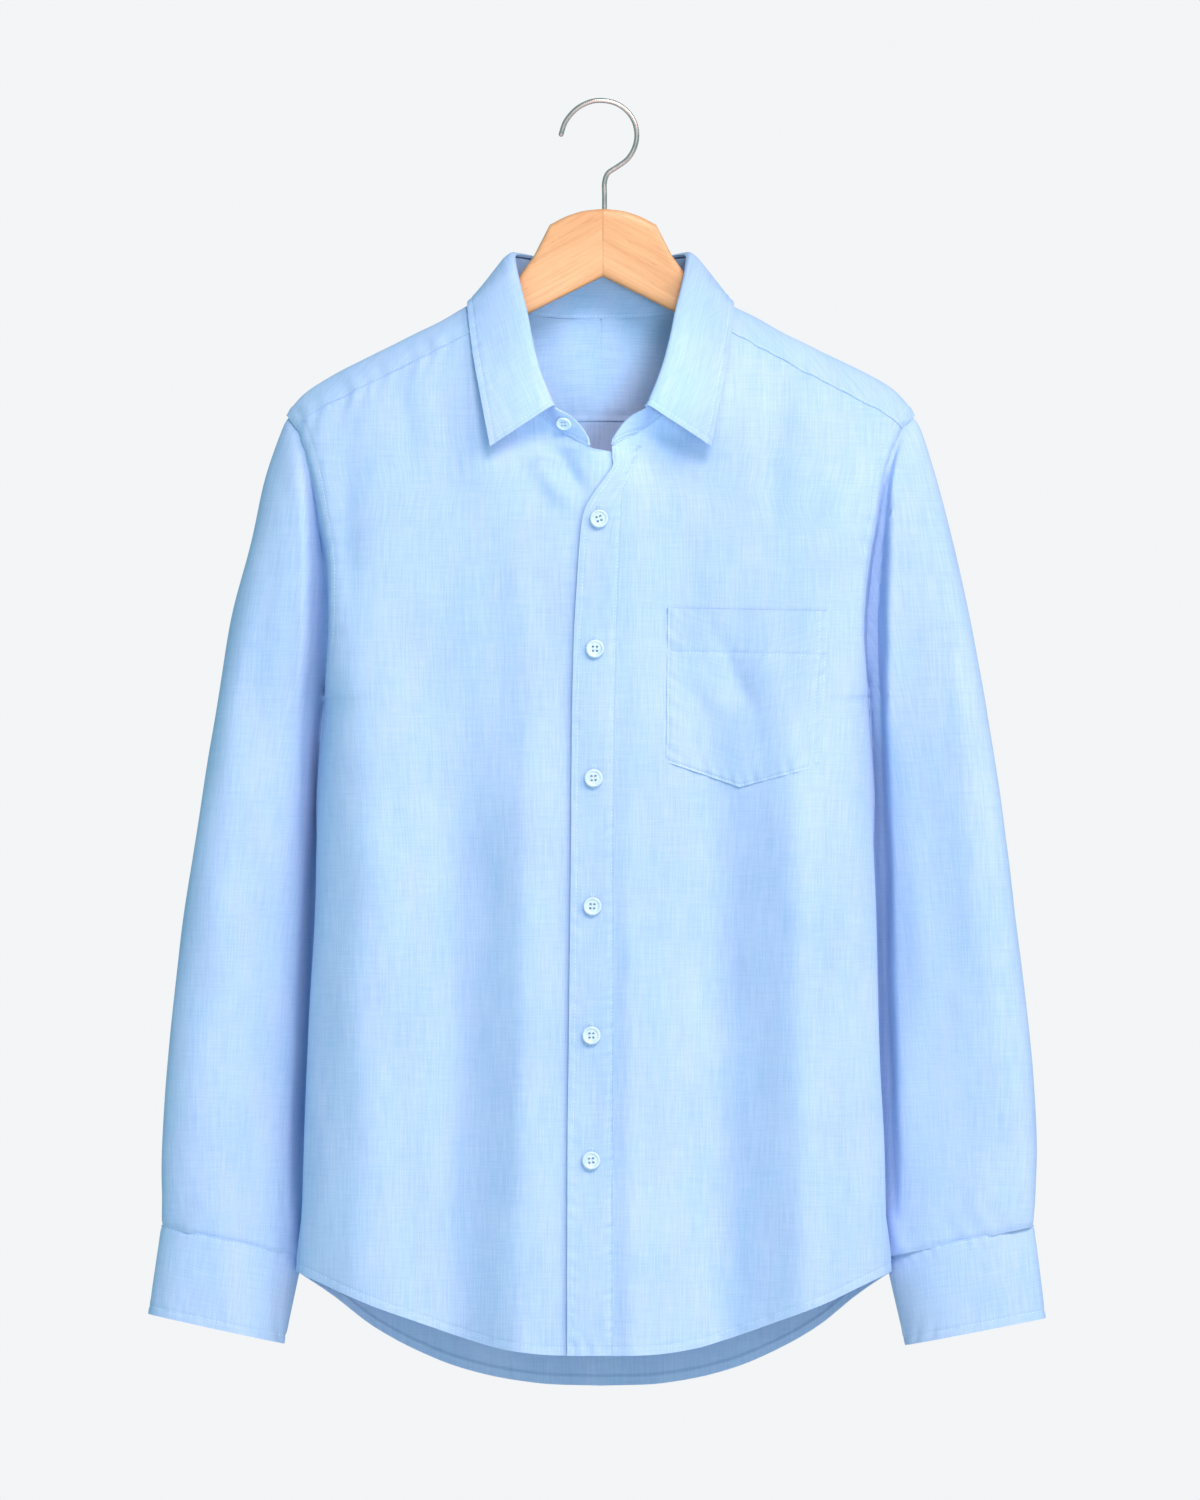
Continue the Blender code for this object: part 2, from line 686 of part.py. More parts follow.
def pocket_foot(across):
    """A point of the pocket's pointed foot."""
    start, tip, end = POCKET_FOOT
    a, b, share = (start, tip, across * 2) if across <= 0.5 else (tip, end, across * 2 - 1)
    return a[0] + (b[0] - a[0]) * share, a[1] + (b[1] - a[1]) * share


def yoke_mesh():
    """Both halves of the yoke, joined at the middle of the back."""
    points, faces = [], []
    for side in (RIGHT, LEFT):
        rows = [yoke_row(side, i) for i in range(YOKE_ROWS)]
        rows = inset(rows, SEAM_INSET, SEAM_INSET, 0.0, SEAM_INSET)
        for row in rows[YOKE_MIDDLE_ROWS + 1 :]:
            row[0] += (row[1] - row[0]).normalized() * SEAM_INSET
        if side == LEFT:
            rows = [row[::-1] for row in rows]
        faces += grid_faces(YOKE_ROWS, len(COLUMNS), len(points))
        points += [p for row in rows for p in row]
    return closed_mesh("yoke", *thicken(*weld(points, faces), WALL))


def weld(points, faces):
    """Join the points that lie in the same place."""
    numbers, kept, places = [], [], {}
    for p in points:
        key = (round(p.x, 3), round(p.y, 3), round(p.z, 3))
        if key not in places:
            places[key] = len(kept)
            kept.append(p)
        numbers.append(places[key])
    return kept, [tuple(numbers[i] for i in face) for face in faces]


def neck_seam(side, row):
    """A point of the neck seam."""
    x, z = side * NECK[row][0], NECK[row][1]
    face = BACK if row <= NECK_RIDGE_ROW else FRONT
    y = chest(x, z, face)
    if row == NECK_RIDGE_ROW:
        y = 0.0
    return Vector((x, y, z))


def stand_columns(side):
    """Foot and fold of the collar stand, from the middle of the back to its front end."""
    pairs = []
    for i, row in enumerate(NECK[:-1]):
        pairs.append((neck_seam(side, i), Vector((side * row[2], row[3], row[4]))))
    start, end = neck_seam(side, len(NECK) - 2), neck_seam(side, len(NECK) - 1)
    for share, x, y, z in STAND_END:
        pairs.append((start.lerp(end, share), Vector((side * x, y, z))))
    pairs.append((end, Vector((side * NECK[-1][2], NECK[-1][3], NECK[-1][4]))))
    return pairs


def stand_grid():
    """Columns of the collar stand from its right front end round the back to the left."""
    right, left = stand_columns(RIGHT), stand_columns(LEFT)
    rows = []
    for foot, fold in right[::-1] + left[1:]:
        up = (fold - foot).normalized()
        foot, fold = foot + up * STAND_LIFT, fold - up * STAND_UNDER_FOLD
        rows.append([foot.lerp(fold, i / STAND_ROWS) for i in range(STAND_ROWS + 1)])
    return rows


def leaf_columns(side):
    """Points of the collar leaf from the fold to its outer edge, for each row of the neck table."""
    found = []
    for i in range(LEAF_END_ROW + 1):
        row = NECK[i]
        fold = Vector((side * row[2], row[3], row[4]))
        edge = Vector((side * row[5], row[6], row[7]))
        before = NECK[max(i - 1, 0)]
        after = NECK[min(i + 1, LEAF_END_ROW)]
        along = Vector((side * (after[2] - before[2]), after[3] - before[3], after[4] - before[4]))
        out = along.cross(edge - fold).normalized() * side
        up = (fold - neck_seam(side, i)).normalized()
        found.append(
            [fold.lerp(edge, s) + up * lift + out * belly for s, lift, belly in LEAF_ROLL]
        )
    return found


def leaf_grid():
    """Columns of the collar leaf from its right point round the back to the left point."""
    right, left = leaf_columns(RIGHT), leaf_columns(LEFT)
    left[0] = right[0] = [Vector((0.0, p.y, p.z)) for p in right[0]]
    return right[::-1] + left[1:]


def armhole_ring():
    """The armhole seam from the underarm up the front, over the shoulder and down the back."""
    front = SIDE_DROPS + FRONT_YOKE_DROPS + RIDGE_FRONT_DROPS
    back = RIDGE_BACK_DROPS[::-1] + SIDE_DROPS[::-1][:-1]
    return [(drop, FRONT) for drop in front] + [(drop, BACK) for drop in back]


def sleeve_grid(side):
    """Rings of a sleeve from the armhole to the cuff seam."""
    ring = armhole_ring()
    first = []
    for drop, face in ring:
        share = smooth((drop - UNDERARM_FROM) / (UNDERARM_DROP - UNDERARM_FROM))
        out = SLEEVE_SEAM + (UNDERARM_SEAM - SLEEVE_SEAM) * share
        first.append(armhole(side, drop, face) + Vector((side * out, 0.0, 0.0)))
    rows = [first]
    for i, (outer_z, inner_z, past, outer_y, inner_y, depth) in enumerate(SLEEVE):
        outer_x = read(SLEEVE_EDGE, outer_z, 1 if side == RIGHT else 2)
        inner_x = half_width(side, inner_z) + past
        outer = Vector((side * outer_x, outer_y, outer_z))
        inner = Vector((side * inner_x, inner_y, inner_z))
        row = [ring_point(outer, inner, depth, *spot) for spot in ring]
        if i < len(SLEEVE_BLEND):
            row = [a.lerp(b, SLEEVE_BLEND[i]) for a, b in zip(first, row)]
        rows.append(row)
    return rows


def ring_point(outer, inner, depth, drop, face):
    """A point of a sleeve's oval between its outer and inner edge, matched to an armhole point."""
    along = 1 - 2 * drop / UNDERARM_DROP
    across = math.sqrt(max(1 - along * along, 0.0))
    middle = (outer + inner) / 2
    return middle + (outer - inner) / 2 * along + Vector((0.0, face * depth * across, 0.0))


def cuff_grid(side):
    """Columns of a cuff, a strip that goes once round and laps over its own start."""
    outer_top, inner_top, outer_foot, inner_foot = CUFFS[side]
    columns = []
    for j in range(CUFF_POINTS + 1):
        share = j / CUFF_POINTS
        angle = CUFF_START + (2 * math.pi + CUFF_LAP) * share
        lifted = (DOUBLE_WALL + GAP * 2) * smooth((share - CUFF_LIFT_FROM) / CUFF_LIFT_LENGTH)
        column = []
        for i in range(CUFF_ROWS + 1):
            down = i / CUFF_ROWS
            outer = cuff_edge(side, outer_top, outer_foot, down, CUFF_BACK[0])
            inner = cuff_edge(side, inner_top, inner_foot, down, CUFF_BACK[1])
            middle, arm = (outer + inner) / 2, (outer - inner) / 2
            stretch = 1 + lifted / arm.length
            point = middle + arm * math.cos(angle) * stretch
            column.append(point - Vector((0.0, (CUFF_DEPTH + lifted) * math.sin(angle), 0.0)))
        columns.append(column)
    return columns


def cuff_edge(side, top, foot, down, back):
    """A point of a cuff's outer or inner edge."""
    x = top[0] + (foot[0] - top[0]) * down
    z = top[1] - CUFF_SEAM + (foot[1] - top[1]) * down
    return Vector((side * x, back, z))


def button_mesh():
    """A button with a raised rim and four holes, its back at z = 0."""
    points = [
        Vector((r * math.cos(a), r * math.sin(a), h))
        for r, h in BUTTON_PROFILE
        for a in (2 * math.pi * k / BUTTON_SIDES for k in range(BUTTON_SIDES))
    ]
    faces = grid_faces(len(BUTTON_PROFILE), BUTTON_SIDES, closed=True)
    faces.append(tuple(range(BUTTON_SIDES))[::-1])
    start = (len(BUTTON_PROFILE) - 1) * BUTTON_SIDES
    faces.append(tuple(range(start, start + BUTTON_SIDES)))
    body = bpy.data.objects.new("button_blank", closed_mesh("button_blank", points, faces))
    holes = bpy.data.objects.new("button_cutter", hole_mesh())
    return cut(body, holes, "button_mesh")


def hole_mesh():
    """Four upright pins that cut the holes of a button."""
    points, faces = [], []
    for quarter in range(4):
        angle = math.pi / 4 + quarter * math.pi / 2
        out = BUTTON_HOLE_OUT * math.sqrt(2)
        middle = Vector((out * math.cos(angle), out * math.sin(angle), 0.0))
        add_pin(points, faces, middle, BUTTON_HOLE, BUTTON_HOLE_SIDES, BUTTON_CUT)
    return closed_mesh("button_cutter", points, faces)


def add_pin(points, faces, middle, radius, sides, heights):
    """Add a closed upright pin to points and faces."""
    start = len(points)
    for height in heights:
        for k in range(sides):
            a = 2 * math.pi * k / sides
            points.append(middle + Vector((radius * math.cos(a), radius * math.sin(a), height)))
    faces += grid_faces(2, sides, start, closed=True)
    faces.append(tuple(range(start, start + sides))[::-1])
    faces.append(tuple(range(start + sides, start + 2 * sides)))


def cut(body, cutter, name):
    """The mesh that is left of a body when a cutter is taken out of it."""
    for item in (body, cutter):
        bpy.context.scene.collection.objects.link(item)
    modifier = body.modifiers.new("holes", "BOOLEAN")
    modifier.operation = "DIFFERENCE"
    modifier.solver = "EXACT"
    modifier.object = cutter
    scene = bpy.context.evaluated_depsgraph_get()
    mesh = bpy.data.meshes.new_from_object(body.evaluated_get(scene))
    mesh.name = name
    for item in (body, cutter):
        bpy.data.objects.remove(item, do_unlink=True)
    return mesh


def place_button(name, mesh, point, normal, lift, parent, scale=1.0):
    """Put a button on a spot of cloth, its back a gap above it."""
    button = add_object(name, mesh.copy(), BUTTON_COLOUR, parent)
    button.rotation_mode = "QUATERNION"
    button.rotation_quaternion = normal.to_track_quat("Z", "Y")
    button.scale = (scale, scale, scale)
    spot = point + normal * lift + Vector((MIDDLE_X, 0.0, 0.0))
    button.location = spot * MM
    return button


def hanger_mesh(name, side):
    """One half of the wooden hanger, from the middle to its rounded end."""
    points = []
    for x, top, foot, half, square in HANGER:
        for k in range(HANGER_POINTS):
            a = 2 * math.pi * k / HANGER_POINTS
            y = half * math.copysign(abs(math.sin(a)) ** (2 / square), math.sin(a))
            rise = math.copysign(abs(math.cos(a)) ** (2 / square), math.cos(a))
            out = side * x + MIDDLE_X * smooth((x - ARM_START) / (ARM_MATCH - ARM_START))
            points.append(Vector((out, y, (top + foot) / 2 + (top - foot) / 2 * rise)))
    faces = grid_faces(len(HANGER), HANGER_POINTS, closed=True)
    faces.append(tuple(range(HANGER_POINTS))[::-1])
    start = (len(HANGER) - 1) * HANGER_POINTS
    faces.append(tuple(range(start, start + HANGER_POINTS)))
    body = bpy.data.objects.new(name + "_blank", closed_mesh(name, points, faces))
    pin_points, pin_faces = [], []
    middle = Vector((STEM_X, 0.0, 0.0))
    radius = WIRE_RADIUS + BORE_CLEARANCE
    add_pin(pin_points, pin_faces, middle, radius, WIRE_SIDES, (BORE_FOOT, BORE_TOP))
    bore = bpy.data.objects.new("bore", closed_mesh("bore", pin_points, pin_faces))
    return cut(body, bore, name)


def hook_path():
    """Points along the middle of the wire, rounded between the named ones."""
    path = []
    spots = [Vector((x, 0.0, z)) for x, z in HOOK]
    for i in range(len(spots) - 1):
        a, b = spots[i], spots[i + 1]
        before, after = spots[max(i - 1, 0)], spots[min(i + 2, len(spots) - 1)]
        for step in range(HOOK_STEPS):
            t = step / HOOK_STEPS
            start = (b - before) / 2
            end = (after - a) / 2
            ease = t * t * (3 - 2 * t)
            bend = start * t * (1 - t) ** 2 - end * t * t * (1 - t)
            path.append(a + (b - a) * ease + bend)
    return path + [spots[-1]]


def hook_mesh():
    """The wire hook: a round wire along its path with a rounded tip."""
    path = hook_path()
    points = []
    for i, spot in enumerate(path):
        along = (path[min(i + 1, len(path) - 1)] - path[max(i - 1, 0)]).normalized()
        side = Vector((along.z, 0.0, -along.x))
        for k in range(WIRE_SIDES):
            a = 2 * math.pi * (k + 0.5) / WIRE_SIDES
            points.append(spot + (side * math.cos(a) + Vector((0, math.sin(a), 0))) * WIRE_RADIUS)
    faces = grid_faces(len(path), WIRE_SIDES, closed=True)
    tip = path[0] + (path[0] - path[1]).normalized() * WIRE_RADIUS * WIRE_TIP
    points.append(tip)
    faces += [((k + 1) % WIRE_SIDES, k, len(points) - 1) for k in range(WIRE_SIDES)]
    start = (len(path) - 1) * WIRE_SIDES
    faces.append(tuple(range(start, start + WIRE_SIDES)))
    return closed_mesh("hook", points, faces)


def build_fronts(parent):
    """Both fronts, the placket, the pocket and the front buttons."""
    for side, name in ((RIGHT, "front_right"), (LEFT, "front_left")):
        grid = front_grid(side)
        rows = inset(grid, 0.0, SEAM_INSET, 0.0, SEAM_INSET)
        mesh = sheet_mesh(name, rows, WALL, flat_ends=True)
        add_object(name, mesh, LINEN, parent, MIDDLE_X)
    placket = placket_grid(grid)
    add_object("placket", sheet_mesh("placket", placket, WALL), LINEN, parent, MIDDLE_X)
    pocket = pocket_grid(grid)
    add_object("pocket", sheet_mesh("pocket", pocket, WALL), LINEN, parent, MIDDLE_X)
    button = button_mesh()
    lift = WALL / 2 + GAP
    for i, (x, z) in enumerate(BUTTON_SPOTS):
        point, normal = surface_point(placket, x, z)
        place_button("button_" + str(i + 1), button, point, normal, lift, parent)
    return button


def build_collar(parent, button):
    """The collar stand, its leaf and its button."""
    stand = stand_grid()
    mesh = sheet_mesh("collar_stand", stand, DOUBLE_WALL)
    add_object("collar_stand", mesh, LINEN, parent, MIDDLE_X)
    mesh = sheet_mesh("collar", leaf_grid(), DOUBLE_WALL)
    add_object("collar", mesh, LINEN, parent, MIDDLE_X)
    point, normal = surface_point(stand[:STAND_FRONT_COLUMNS], *COLLAR_BUTTON)
    lift = DOUBLE_WALL / 2 + GAP * 2
    place_button("button_collar", button, point, normal, lift, parent, SMALL_BUTTON)


def build_sleeves(parent, button):
    """Both sleeves with their cuffs and cuff buttons."""
    for side, name in ((RIGHT, "right"), (LEFT, "left")):
        rows = inset(sleeve_grid(side), 0.0, SEAM_INSET, 0.0, 0.0)
        mesh = sheet_mesh("sleeve_" + name, rows, WALL, closed=True)
        add_object("sleeve_" + name, mesh, LINEN, parent, MIDDLE_X)
        cuff = cuff_grid(side)
        mesh = sheet_mesh("cuff_" + name, cuff, DOUBLE_WALL)
        add_object("cuff_" + name, mesh, LINEN, parent, MIDDLE_X)
        column = cuff[CUFF_BUTTON_COLUMN]
        point = column[1].lerp(column[2], 0.5)
        along = cuff[CUFF_BUTTON_COLUMN + 1][1] - cuff[CUFF_BUTTON_COLUMN - 1][1]
        across = along.cross(column[2] - column[1]).normalized()
        normal = across if across.y > 0 else -across
        lift = DOUBLE_WALL / 2 + GAP
        place_button("button_cuff_" + name, button, point, normal, lift, parent, SMALL_BUTTON)


def build_hanger(parent):
    """The wooden halves and the wire hook."""
    for side, name in ((RIGHT, "hanger_right"), (LEFT, "hanger_left")):
        add_object(name, hanger_mesh(name, side), BEECH, parent)
    add_object("hook", hook_mesh(), STEEL, parent)


def main():
    """Build the shirt and its hanger."""
    clear_scene()
    parent = bpy.data.objects.new("linen_shirt", None)
    bpy.context.scene.collection.objects.link(parent)
    button = build_fronts(parent)
    rows = inset(back_grid(), 0.0, SEAM_INSET, SEAM_INSET, SEAM_INSET)
    mesh = sheet_mesh("back", rows, WALL, flat_ends=True)
    add_object("back", mesh, LINEN, parent, MIDDLE_X)
    add_object("yoke", yoke_mesh(), LINEN, parent, MIDDLE_X)
    build_collar(parent, button)
    build_sleeves(parent, button)
    build_hanger(parent)
    bpy.data.meshes.remove(button)


main()
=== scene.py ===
"""The looks of a linen shirt that hangs on a wooden hanger.

Sizes are in millimetres and are turned into metres when a mesh is made. The shirt faces -Y, +Z is
up, and the origin is the inside crest of the hanger's hook. "Right" and "left" are the wearer's:
the right half is at -X.
"""

import bisect
import math

import bmesh
import bpy
import numpy as np
from mathutils import Matrix, Vector
from mathutils.bvhtree import BVHTree


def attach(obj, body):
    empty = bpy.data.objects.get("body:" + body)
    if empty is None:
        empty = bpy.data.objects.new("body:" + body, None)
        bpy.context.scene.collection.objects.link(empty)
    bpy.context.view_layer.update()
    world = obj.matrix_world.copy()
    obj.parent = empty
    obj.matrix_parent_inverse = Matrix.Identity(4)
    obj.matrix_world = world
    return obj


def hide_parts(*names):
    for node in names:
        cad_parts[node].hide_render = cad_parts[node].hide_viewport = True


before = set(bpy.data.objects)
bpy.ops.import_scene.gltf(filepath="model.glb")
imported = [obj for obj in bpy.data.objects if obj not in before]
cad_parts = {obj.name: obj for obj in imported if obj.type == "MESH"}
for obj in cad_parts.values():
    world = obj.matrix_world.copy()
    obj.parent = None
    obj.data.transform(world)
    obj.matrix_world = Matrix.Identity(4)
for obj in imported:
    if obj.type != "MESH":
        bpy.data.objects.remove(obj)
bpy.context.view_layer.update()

MM = 0.001
RIGHT, LEFT = -1, 1
FRONT, BACK = -1, 1
# the column of a table with each side's value
COLUMN = {RIGHT: 1, LEFT: 2}

# How fine the cloth is made: width of a cell, width along the edges, width of that strip
CELL, EDGE_CELL, EDGE_STRIP = 2.8, 1.0, 9.0
# thickness of one layer of cloth and of two
CLOTH, TWO_LAYERS = 0.9, 1.6
# edges that turn more than this stay crisp
SHARP_ANGLE = math.radians(50.0)
# stitches: pitch, length, width, height
STITCH_PITCH, STITCH_LENGTH, STITCH_WIDTH, STITCH_HEIGHT = 2.5, 1.9, 0.42, 0.2
# half width of the groove that a row of stitches draws in
GROOVE = 1.2
# the gentle dents of the cloth: size, width, how much taller than wide
UNEVEN, UNEVEN_PITCH, UNEVEN_STRETCH = 0.5, 36.0, 2.4
# shares of a crease's length: how far it runs past its named ends, and where it has risen
CREASE_TAIL, CREASE_RISE = 0.15, 0.45
# how far the puckers of a seam slant
PUCKER_SLANT = 0.35
# points nearer than this become one, in metres
WELD = 5e-5
# a thread, in shares of its length, width and height: where its rings and its tips lie, the
# points of a ring, how deep the tips go in
THREAD_RINGS, THREAD_TIPS, TIP_DEPTH = (-0.3, 0.3), (-0.5, 0.5), 0.6
THREAD_RING = ((-0.5, 0.0), (-0.3, 0.8), (0.3, 0.8), (0.5, 0.0))
# well in front of the shirt, and about where its front hangs
FAR_FRONT_Y, NEAR_FRONT_Y = -400.0, -50.0
# well under the yoke
UNDER_YOKE_Z = -300.0

# The lap of the left front over the right one: how far, to where, over what width it fades
LAP_STEP, LAP_FLAT, LAP_FADE = 1.8, 14.0, 42.0
MIDDLE_X = -1.6
SHOULDER_X, SHOULDER_Z = 220.3, -219.0
# over what height and how fast the cloth falls away from the shoulder line
FALL, FALL_POWER = 140.0, 0.6
# how soon the long folds rise to their full depth
FOLD_RISE = 2.2
FRONT_HEM_Z, BACK_HEM_Z = -877.5, -900.2
UNDERARM_MIDDLE_Z = -440.0
LOWER_ROWS = 10
YOKE_BACK_Z = -221.0
YOKE_BOW = 2.0
# rows of the yoke that cross the middle of the back, and rows over which it turns in
YOKE_MIDDLE_ROWS, YOKE_TURN_ROWS = 2, 5
# rows of the yoke beside the ridge, and how fast they close in on it
YOKE_HUG = {4: 1.6, 5: 2.6, 6: 5.0, 8: 3.5}
# cells that give both halves of the yoke the same number of rows
YOKE_CELL = {RIGHT: 2.2, LEFT: 2.24}
BUTTON_STAND_X = 9.6
# how far the left front's edge stays back under the placket
UNDER_PLACKET = 1.5
# how late the fronts' rows turn parallel to the shoulder
FRONT_TURN = 3
# out from the middle, height of the cloth over the hanger
SHOULDER_LINE = (
    (0, -112), (36, -116.9), (72, -131.5), (94.5, -143.3), (127, -160.5), (171, -183),
    (201, -198.8), (213, -209.3), (SHOULDER_X, SHOULDER_Z),
)
# height, right half width, left half width, depth of the front, depth of the back, squareness
BODY = (
    (-900, 215, 205, 46, 48, 5.5), (-818, 213.4, 203.4, 47, 48, 5.8),
    (-700, 208.9, 199.6, 50, 50, 6.4), (-612, 204.9, 196.2, 52, 51, 7),
    (-540, 201.4, 193.9, 53, 52, 8), (-452, 196.5, 190.2, 54, 52, 10),
    (-418, 193.9, 188.1, 54, 52, 11), (-300, 191, 186, 53, 51, 11), (-110, 191, 186, 51, 49, 8),
)
BODY_DEPTH = {FRONT: 3, BACK: 4}
BODY_SQUARE = 5
# drop below the shoulder's end, inward on the right, inward on the left, half depth
ARMHOLE = (
    (0, 0, 0, 0), (4, 3.5, 4.2, 7.5), (9, 7, 9, 12.5), (24, 13.5, 16, 22), (45, 20, 22, 29.5),
    (72, 24.7, 27, 34.5), (112, 30, 34, 37.5), (149, 30.5, 36.5, 35.5), (170, 29.5, 35.5, 30),
    (186, 28, 34, 20.5), (195.6, 27, 32.8, 10), (199, 26.4, 32.2, 0),
)
UNDERARM_DROP = 199.0
SIDE_DROPS = (199, 195.6, 186, 170, 149, 125, 99.5, 72, 58, 45)
FRONT_YOKE_DROPS = (34, 24, 16, 9)
RIDGE_FRONT_DROPS = (4,)
RIDGE_BACK_DROPS = (36.5, 28.5, 21, 14.5, 9, 4, 0)
YOKE_ROWS = len(RIDGE_BACK_DROPS) + len(RIDGE_FRONT_DROPS) + 2
# share of the half width, rise of the front hem, rise of the back hem
HEM = (
    (0, 0, 0), (0.15, 0.5, 0.7), (0.3, 4, 4.5), (0.45, 12.5, 12), (0.6, 23.5, 24.5), (0.75, 35, 42),
    (0.88, 47, 63.5), (1, 58.5, 81.2),
)
# out from the middle, height: where the stand is sewn on; then the fold of the collar: out,
# forward, height; then the leaf's outer edge: out, forward, height
NECK = (
    (0, -151, 0, 30, -112, 0, 46, -160), (17, -150.8, 16, 29.5, -111.5, 24, 45.5, -160),
    (34, -150, 31, 27, -110, 47, 43, -159), (50, -147.8, 45, 22, -108, 68, 37, -155.5),
    (64, -142, 56, 13, -106.5, 84, 25, -148.5), (73, -132, 60, 2, -107.5, 91.5, 10, -141),
    (76.5, -141.5, 59, -8, -116, 93, -5, -140.3), (77, -153, 56, -17, -130, 92.6, -17.5, -150),
    (75, -169, 51.5, -26, -148, 90.8, -29.5, -166), (69, -186, 48, -35, -166, 88.3, -42, -183),
    (59, -202, 43.5, -43.5, -184, 85, -52, -201), (45, -217, 37.5, -50, -200, 81.5, -59.5, -220),
    (30, -229.5, 31.5, -54.5, -213, 77.4, -64.5, -241.5), (8, -241.5, 7.6, -49.5, -238.5, 0, 0, 0),
)
NECK_RIDGE_ROW, NECK_YOKE_ROW, LEAF_END_ROW = 5, 7, 12
# share of the way to the stand's end, fold: out, forward, height
STAND_END = ((0.36, 21, -50.5, -218), (0.68, 12.8, -49.5, -226), (0.9, 8.8, -49, -232.5))
STAND_LIFT, STAND_UNDER_FOLD = 0.25, 2.5
STAND_FINE_ROWS = 6
# share of the way to the outer edge, lift, belly
LEAF_ROLL = (
    (0, -0.7, 0), (0.03, 0.6, 2.4), (0.1, 0.6, 3.6), (0.3, 0, 3.8), (0.55, 0, 2.8), (0.8, 0, 1.3),
    (1, 0, 0),
)
# height, left edge, stitched edge: the strip with the buttonholes
PLACKET = (
    (-877.5, -23.6, 8.6), (-736, -23.4, 8.8), (-649, -22.3, 9.3), (-534, -21, 9.3),
    (-441, -20.2, 10), (-377, -18.9, 11.4), (-337, -16.8, 12.8), (-301, -14.1, 14.2),
    (-287, -11.7, 14.8), (-275, -5.6, 15.3), (-265, 1.6, 19), (-255, 7.6, 23), (-247, 9.4, 26.4),
    (-240.5, 7, 29.2),
)
PLACKET_TOP_Z, PLACKET_FOOT_Z = -241.0, -877.3
CLOSING_HEIGHTS = {
    RIGHT: (-405, -370, -335, -302, -272, -247),
    LEFT: (-405, -370, -335, -305, -282, -262),
}
# share of the way from the closing to the side
COLUMNS = (
    0, 0.045, 0.09, 0.14, 0.19, 0.245, 0.3, 0.355, 0.41, 0.465, 0.52, 0.575, 0.63, 0.68, 0.73,
    0.775, 0.82, 0.86, 0.895, 0.925, 0.95, 0.97, 0.985, 1,
)
# out from the middle at the top and at the hem, height of the start and the end, size, half width
FOLDS = {
    FRONT: (
        (-97, -110, -300, -900, -16.5, 29), (-47, -55, -310, -900, 8.5, 19),
        (-164, -168, -320, -900, 4, 18), (74, 88, -300, -900, -16.5, 28),
        (19, 20, -310, -900, 3.4, 8.5), (133, 151, -300, -900, 12, 21),
    ),
    BACK: (
        (-105, -118, -330, -900, -6, 26), (-50, -40, -420, -900, 4, 24),
        (30, 52, -380, -900, -5, 26), (118, 126, -300, -900, 4.5, 28),
    ),
}
# out from the middle, height, depth, half width, half height: where the front falls back below
# the collar
NECK_HOLLOWS = ((-38, -238, 17, 27, 24), (42, -240, 18, 28, 26))
# outer height, inner height, inner edge past the body's edge, outer back, inner back, half depth
SLEEVE = (
    (-243, -429, 0.4, 0, 9, 39), (-275, -442, -0.8, 1, 14, 40), (-313, -458, -2.4, 2, 22, 40.5),
    (-352, -477, -3.6, 3, 29, 40.5), (-392, -499, -4.6, 4, 33, 40), (-432, -524, -5, 5, 35, 39),
    (-475, -553, -5, 6, 36, 37.5), (-520, -586, -5, 7, 36, 36), (-565, -621, -5, 7, 35, 34.5),
    (-610, -657, -5, 8, 34, 33), (-655, -695, -5, 9, 33, 31.5), (-700, -733, -4.4, 10, 31, 30),
    (-742, -769, -3.6, 11, 28, 28), (-770, -793, -3, 12, 26, 26.5),
    (-786.5, -807.5, -3, 13, 25, 25),
)
SLEEVE_BLEND = (0.3, 0.62, 0.88)
SLEEVE_SQUARE = {RIGHT: 2.4, LEFT: 3.2}
# height, right outer edge, left outer edge
SLEEVE_EDGE = (
    (-787, 307.3, 302.9), (-740, 307.4, 305.2), (-693, 305, 303.6), (-624, 298, 296.9),
    (-556, 289.6, 288.6), (-488, 279.1, 280.2), (-421, 268.1, 269.3), (-377, 260.6, 261.3),
    (-330, 251, 252.6), (-300, 244.1, 245.8), (-265, 236.9, 237.6), (-241, 228.7, 231),
    (-219, 220.4, 220.6),
)
# how far outside the armhole a sleeve starts, below 0 inside it; the same at the underarm; and
# the drop where it changes
SLEEVE_SEAM, UNDERARM_SEAM, UNDERARM_FROM = -1.4, -1.2, 120.0
CUFF_SEAM = 0.15
CUFF_START, CUFF_LAP = math.radians(-118.0), math.radians(34.0)
# share of a cuff's strip where its end lifts over its start, share it takes, how far it lifts
CUFF_LIFT_FROM, CUFF_LIFT_LENGTH, CUFF_LIFT = 0.8, 0.1, 2.2
CUFF_POINTS, CUFF_ROWS = 60, 4
# outer top, inner top, outer foot, inner foot
CUFFS = {
    RIGHT: ((307.3, -786.5), (209.9, -807.5), (316.6, -849.1), (222.8, -869.8)),
    LEFT: ((302.9, -786.5), (200.2, -807.5), (311.7, -851.9), (214.4, -871.0)),
}
# how far back a cuff's outer and inner edges lie, and half its depth
CUFF_BACK, CUFF_DEPTH = (13.0, 25.0), 25.0
# out from the middle, height: the pocket's corners
POCKET_TOP = ((46.8, -354.2), (159.8, -356.7))
POCKET_FOOT = ((45.5, -462.0), (97.9, -479.5), (153.8, -464.8))
# out from the middle, height, turn of each front button
BUTTON_SPOTS = (
    (-1.2, -291.9, 0.3), (-4.0, -382.9, 0.0), (-5.0, -473.2, 0.06),
    (-5.9, -562.8, -0.04), (-6.5, -653.1, 0.02), (-6.8, -740.6, 0.08),
)
COLLAR_BUTTON = (-25.6, -224.5)
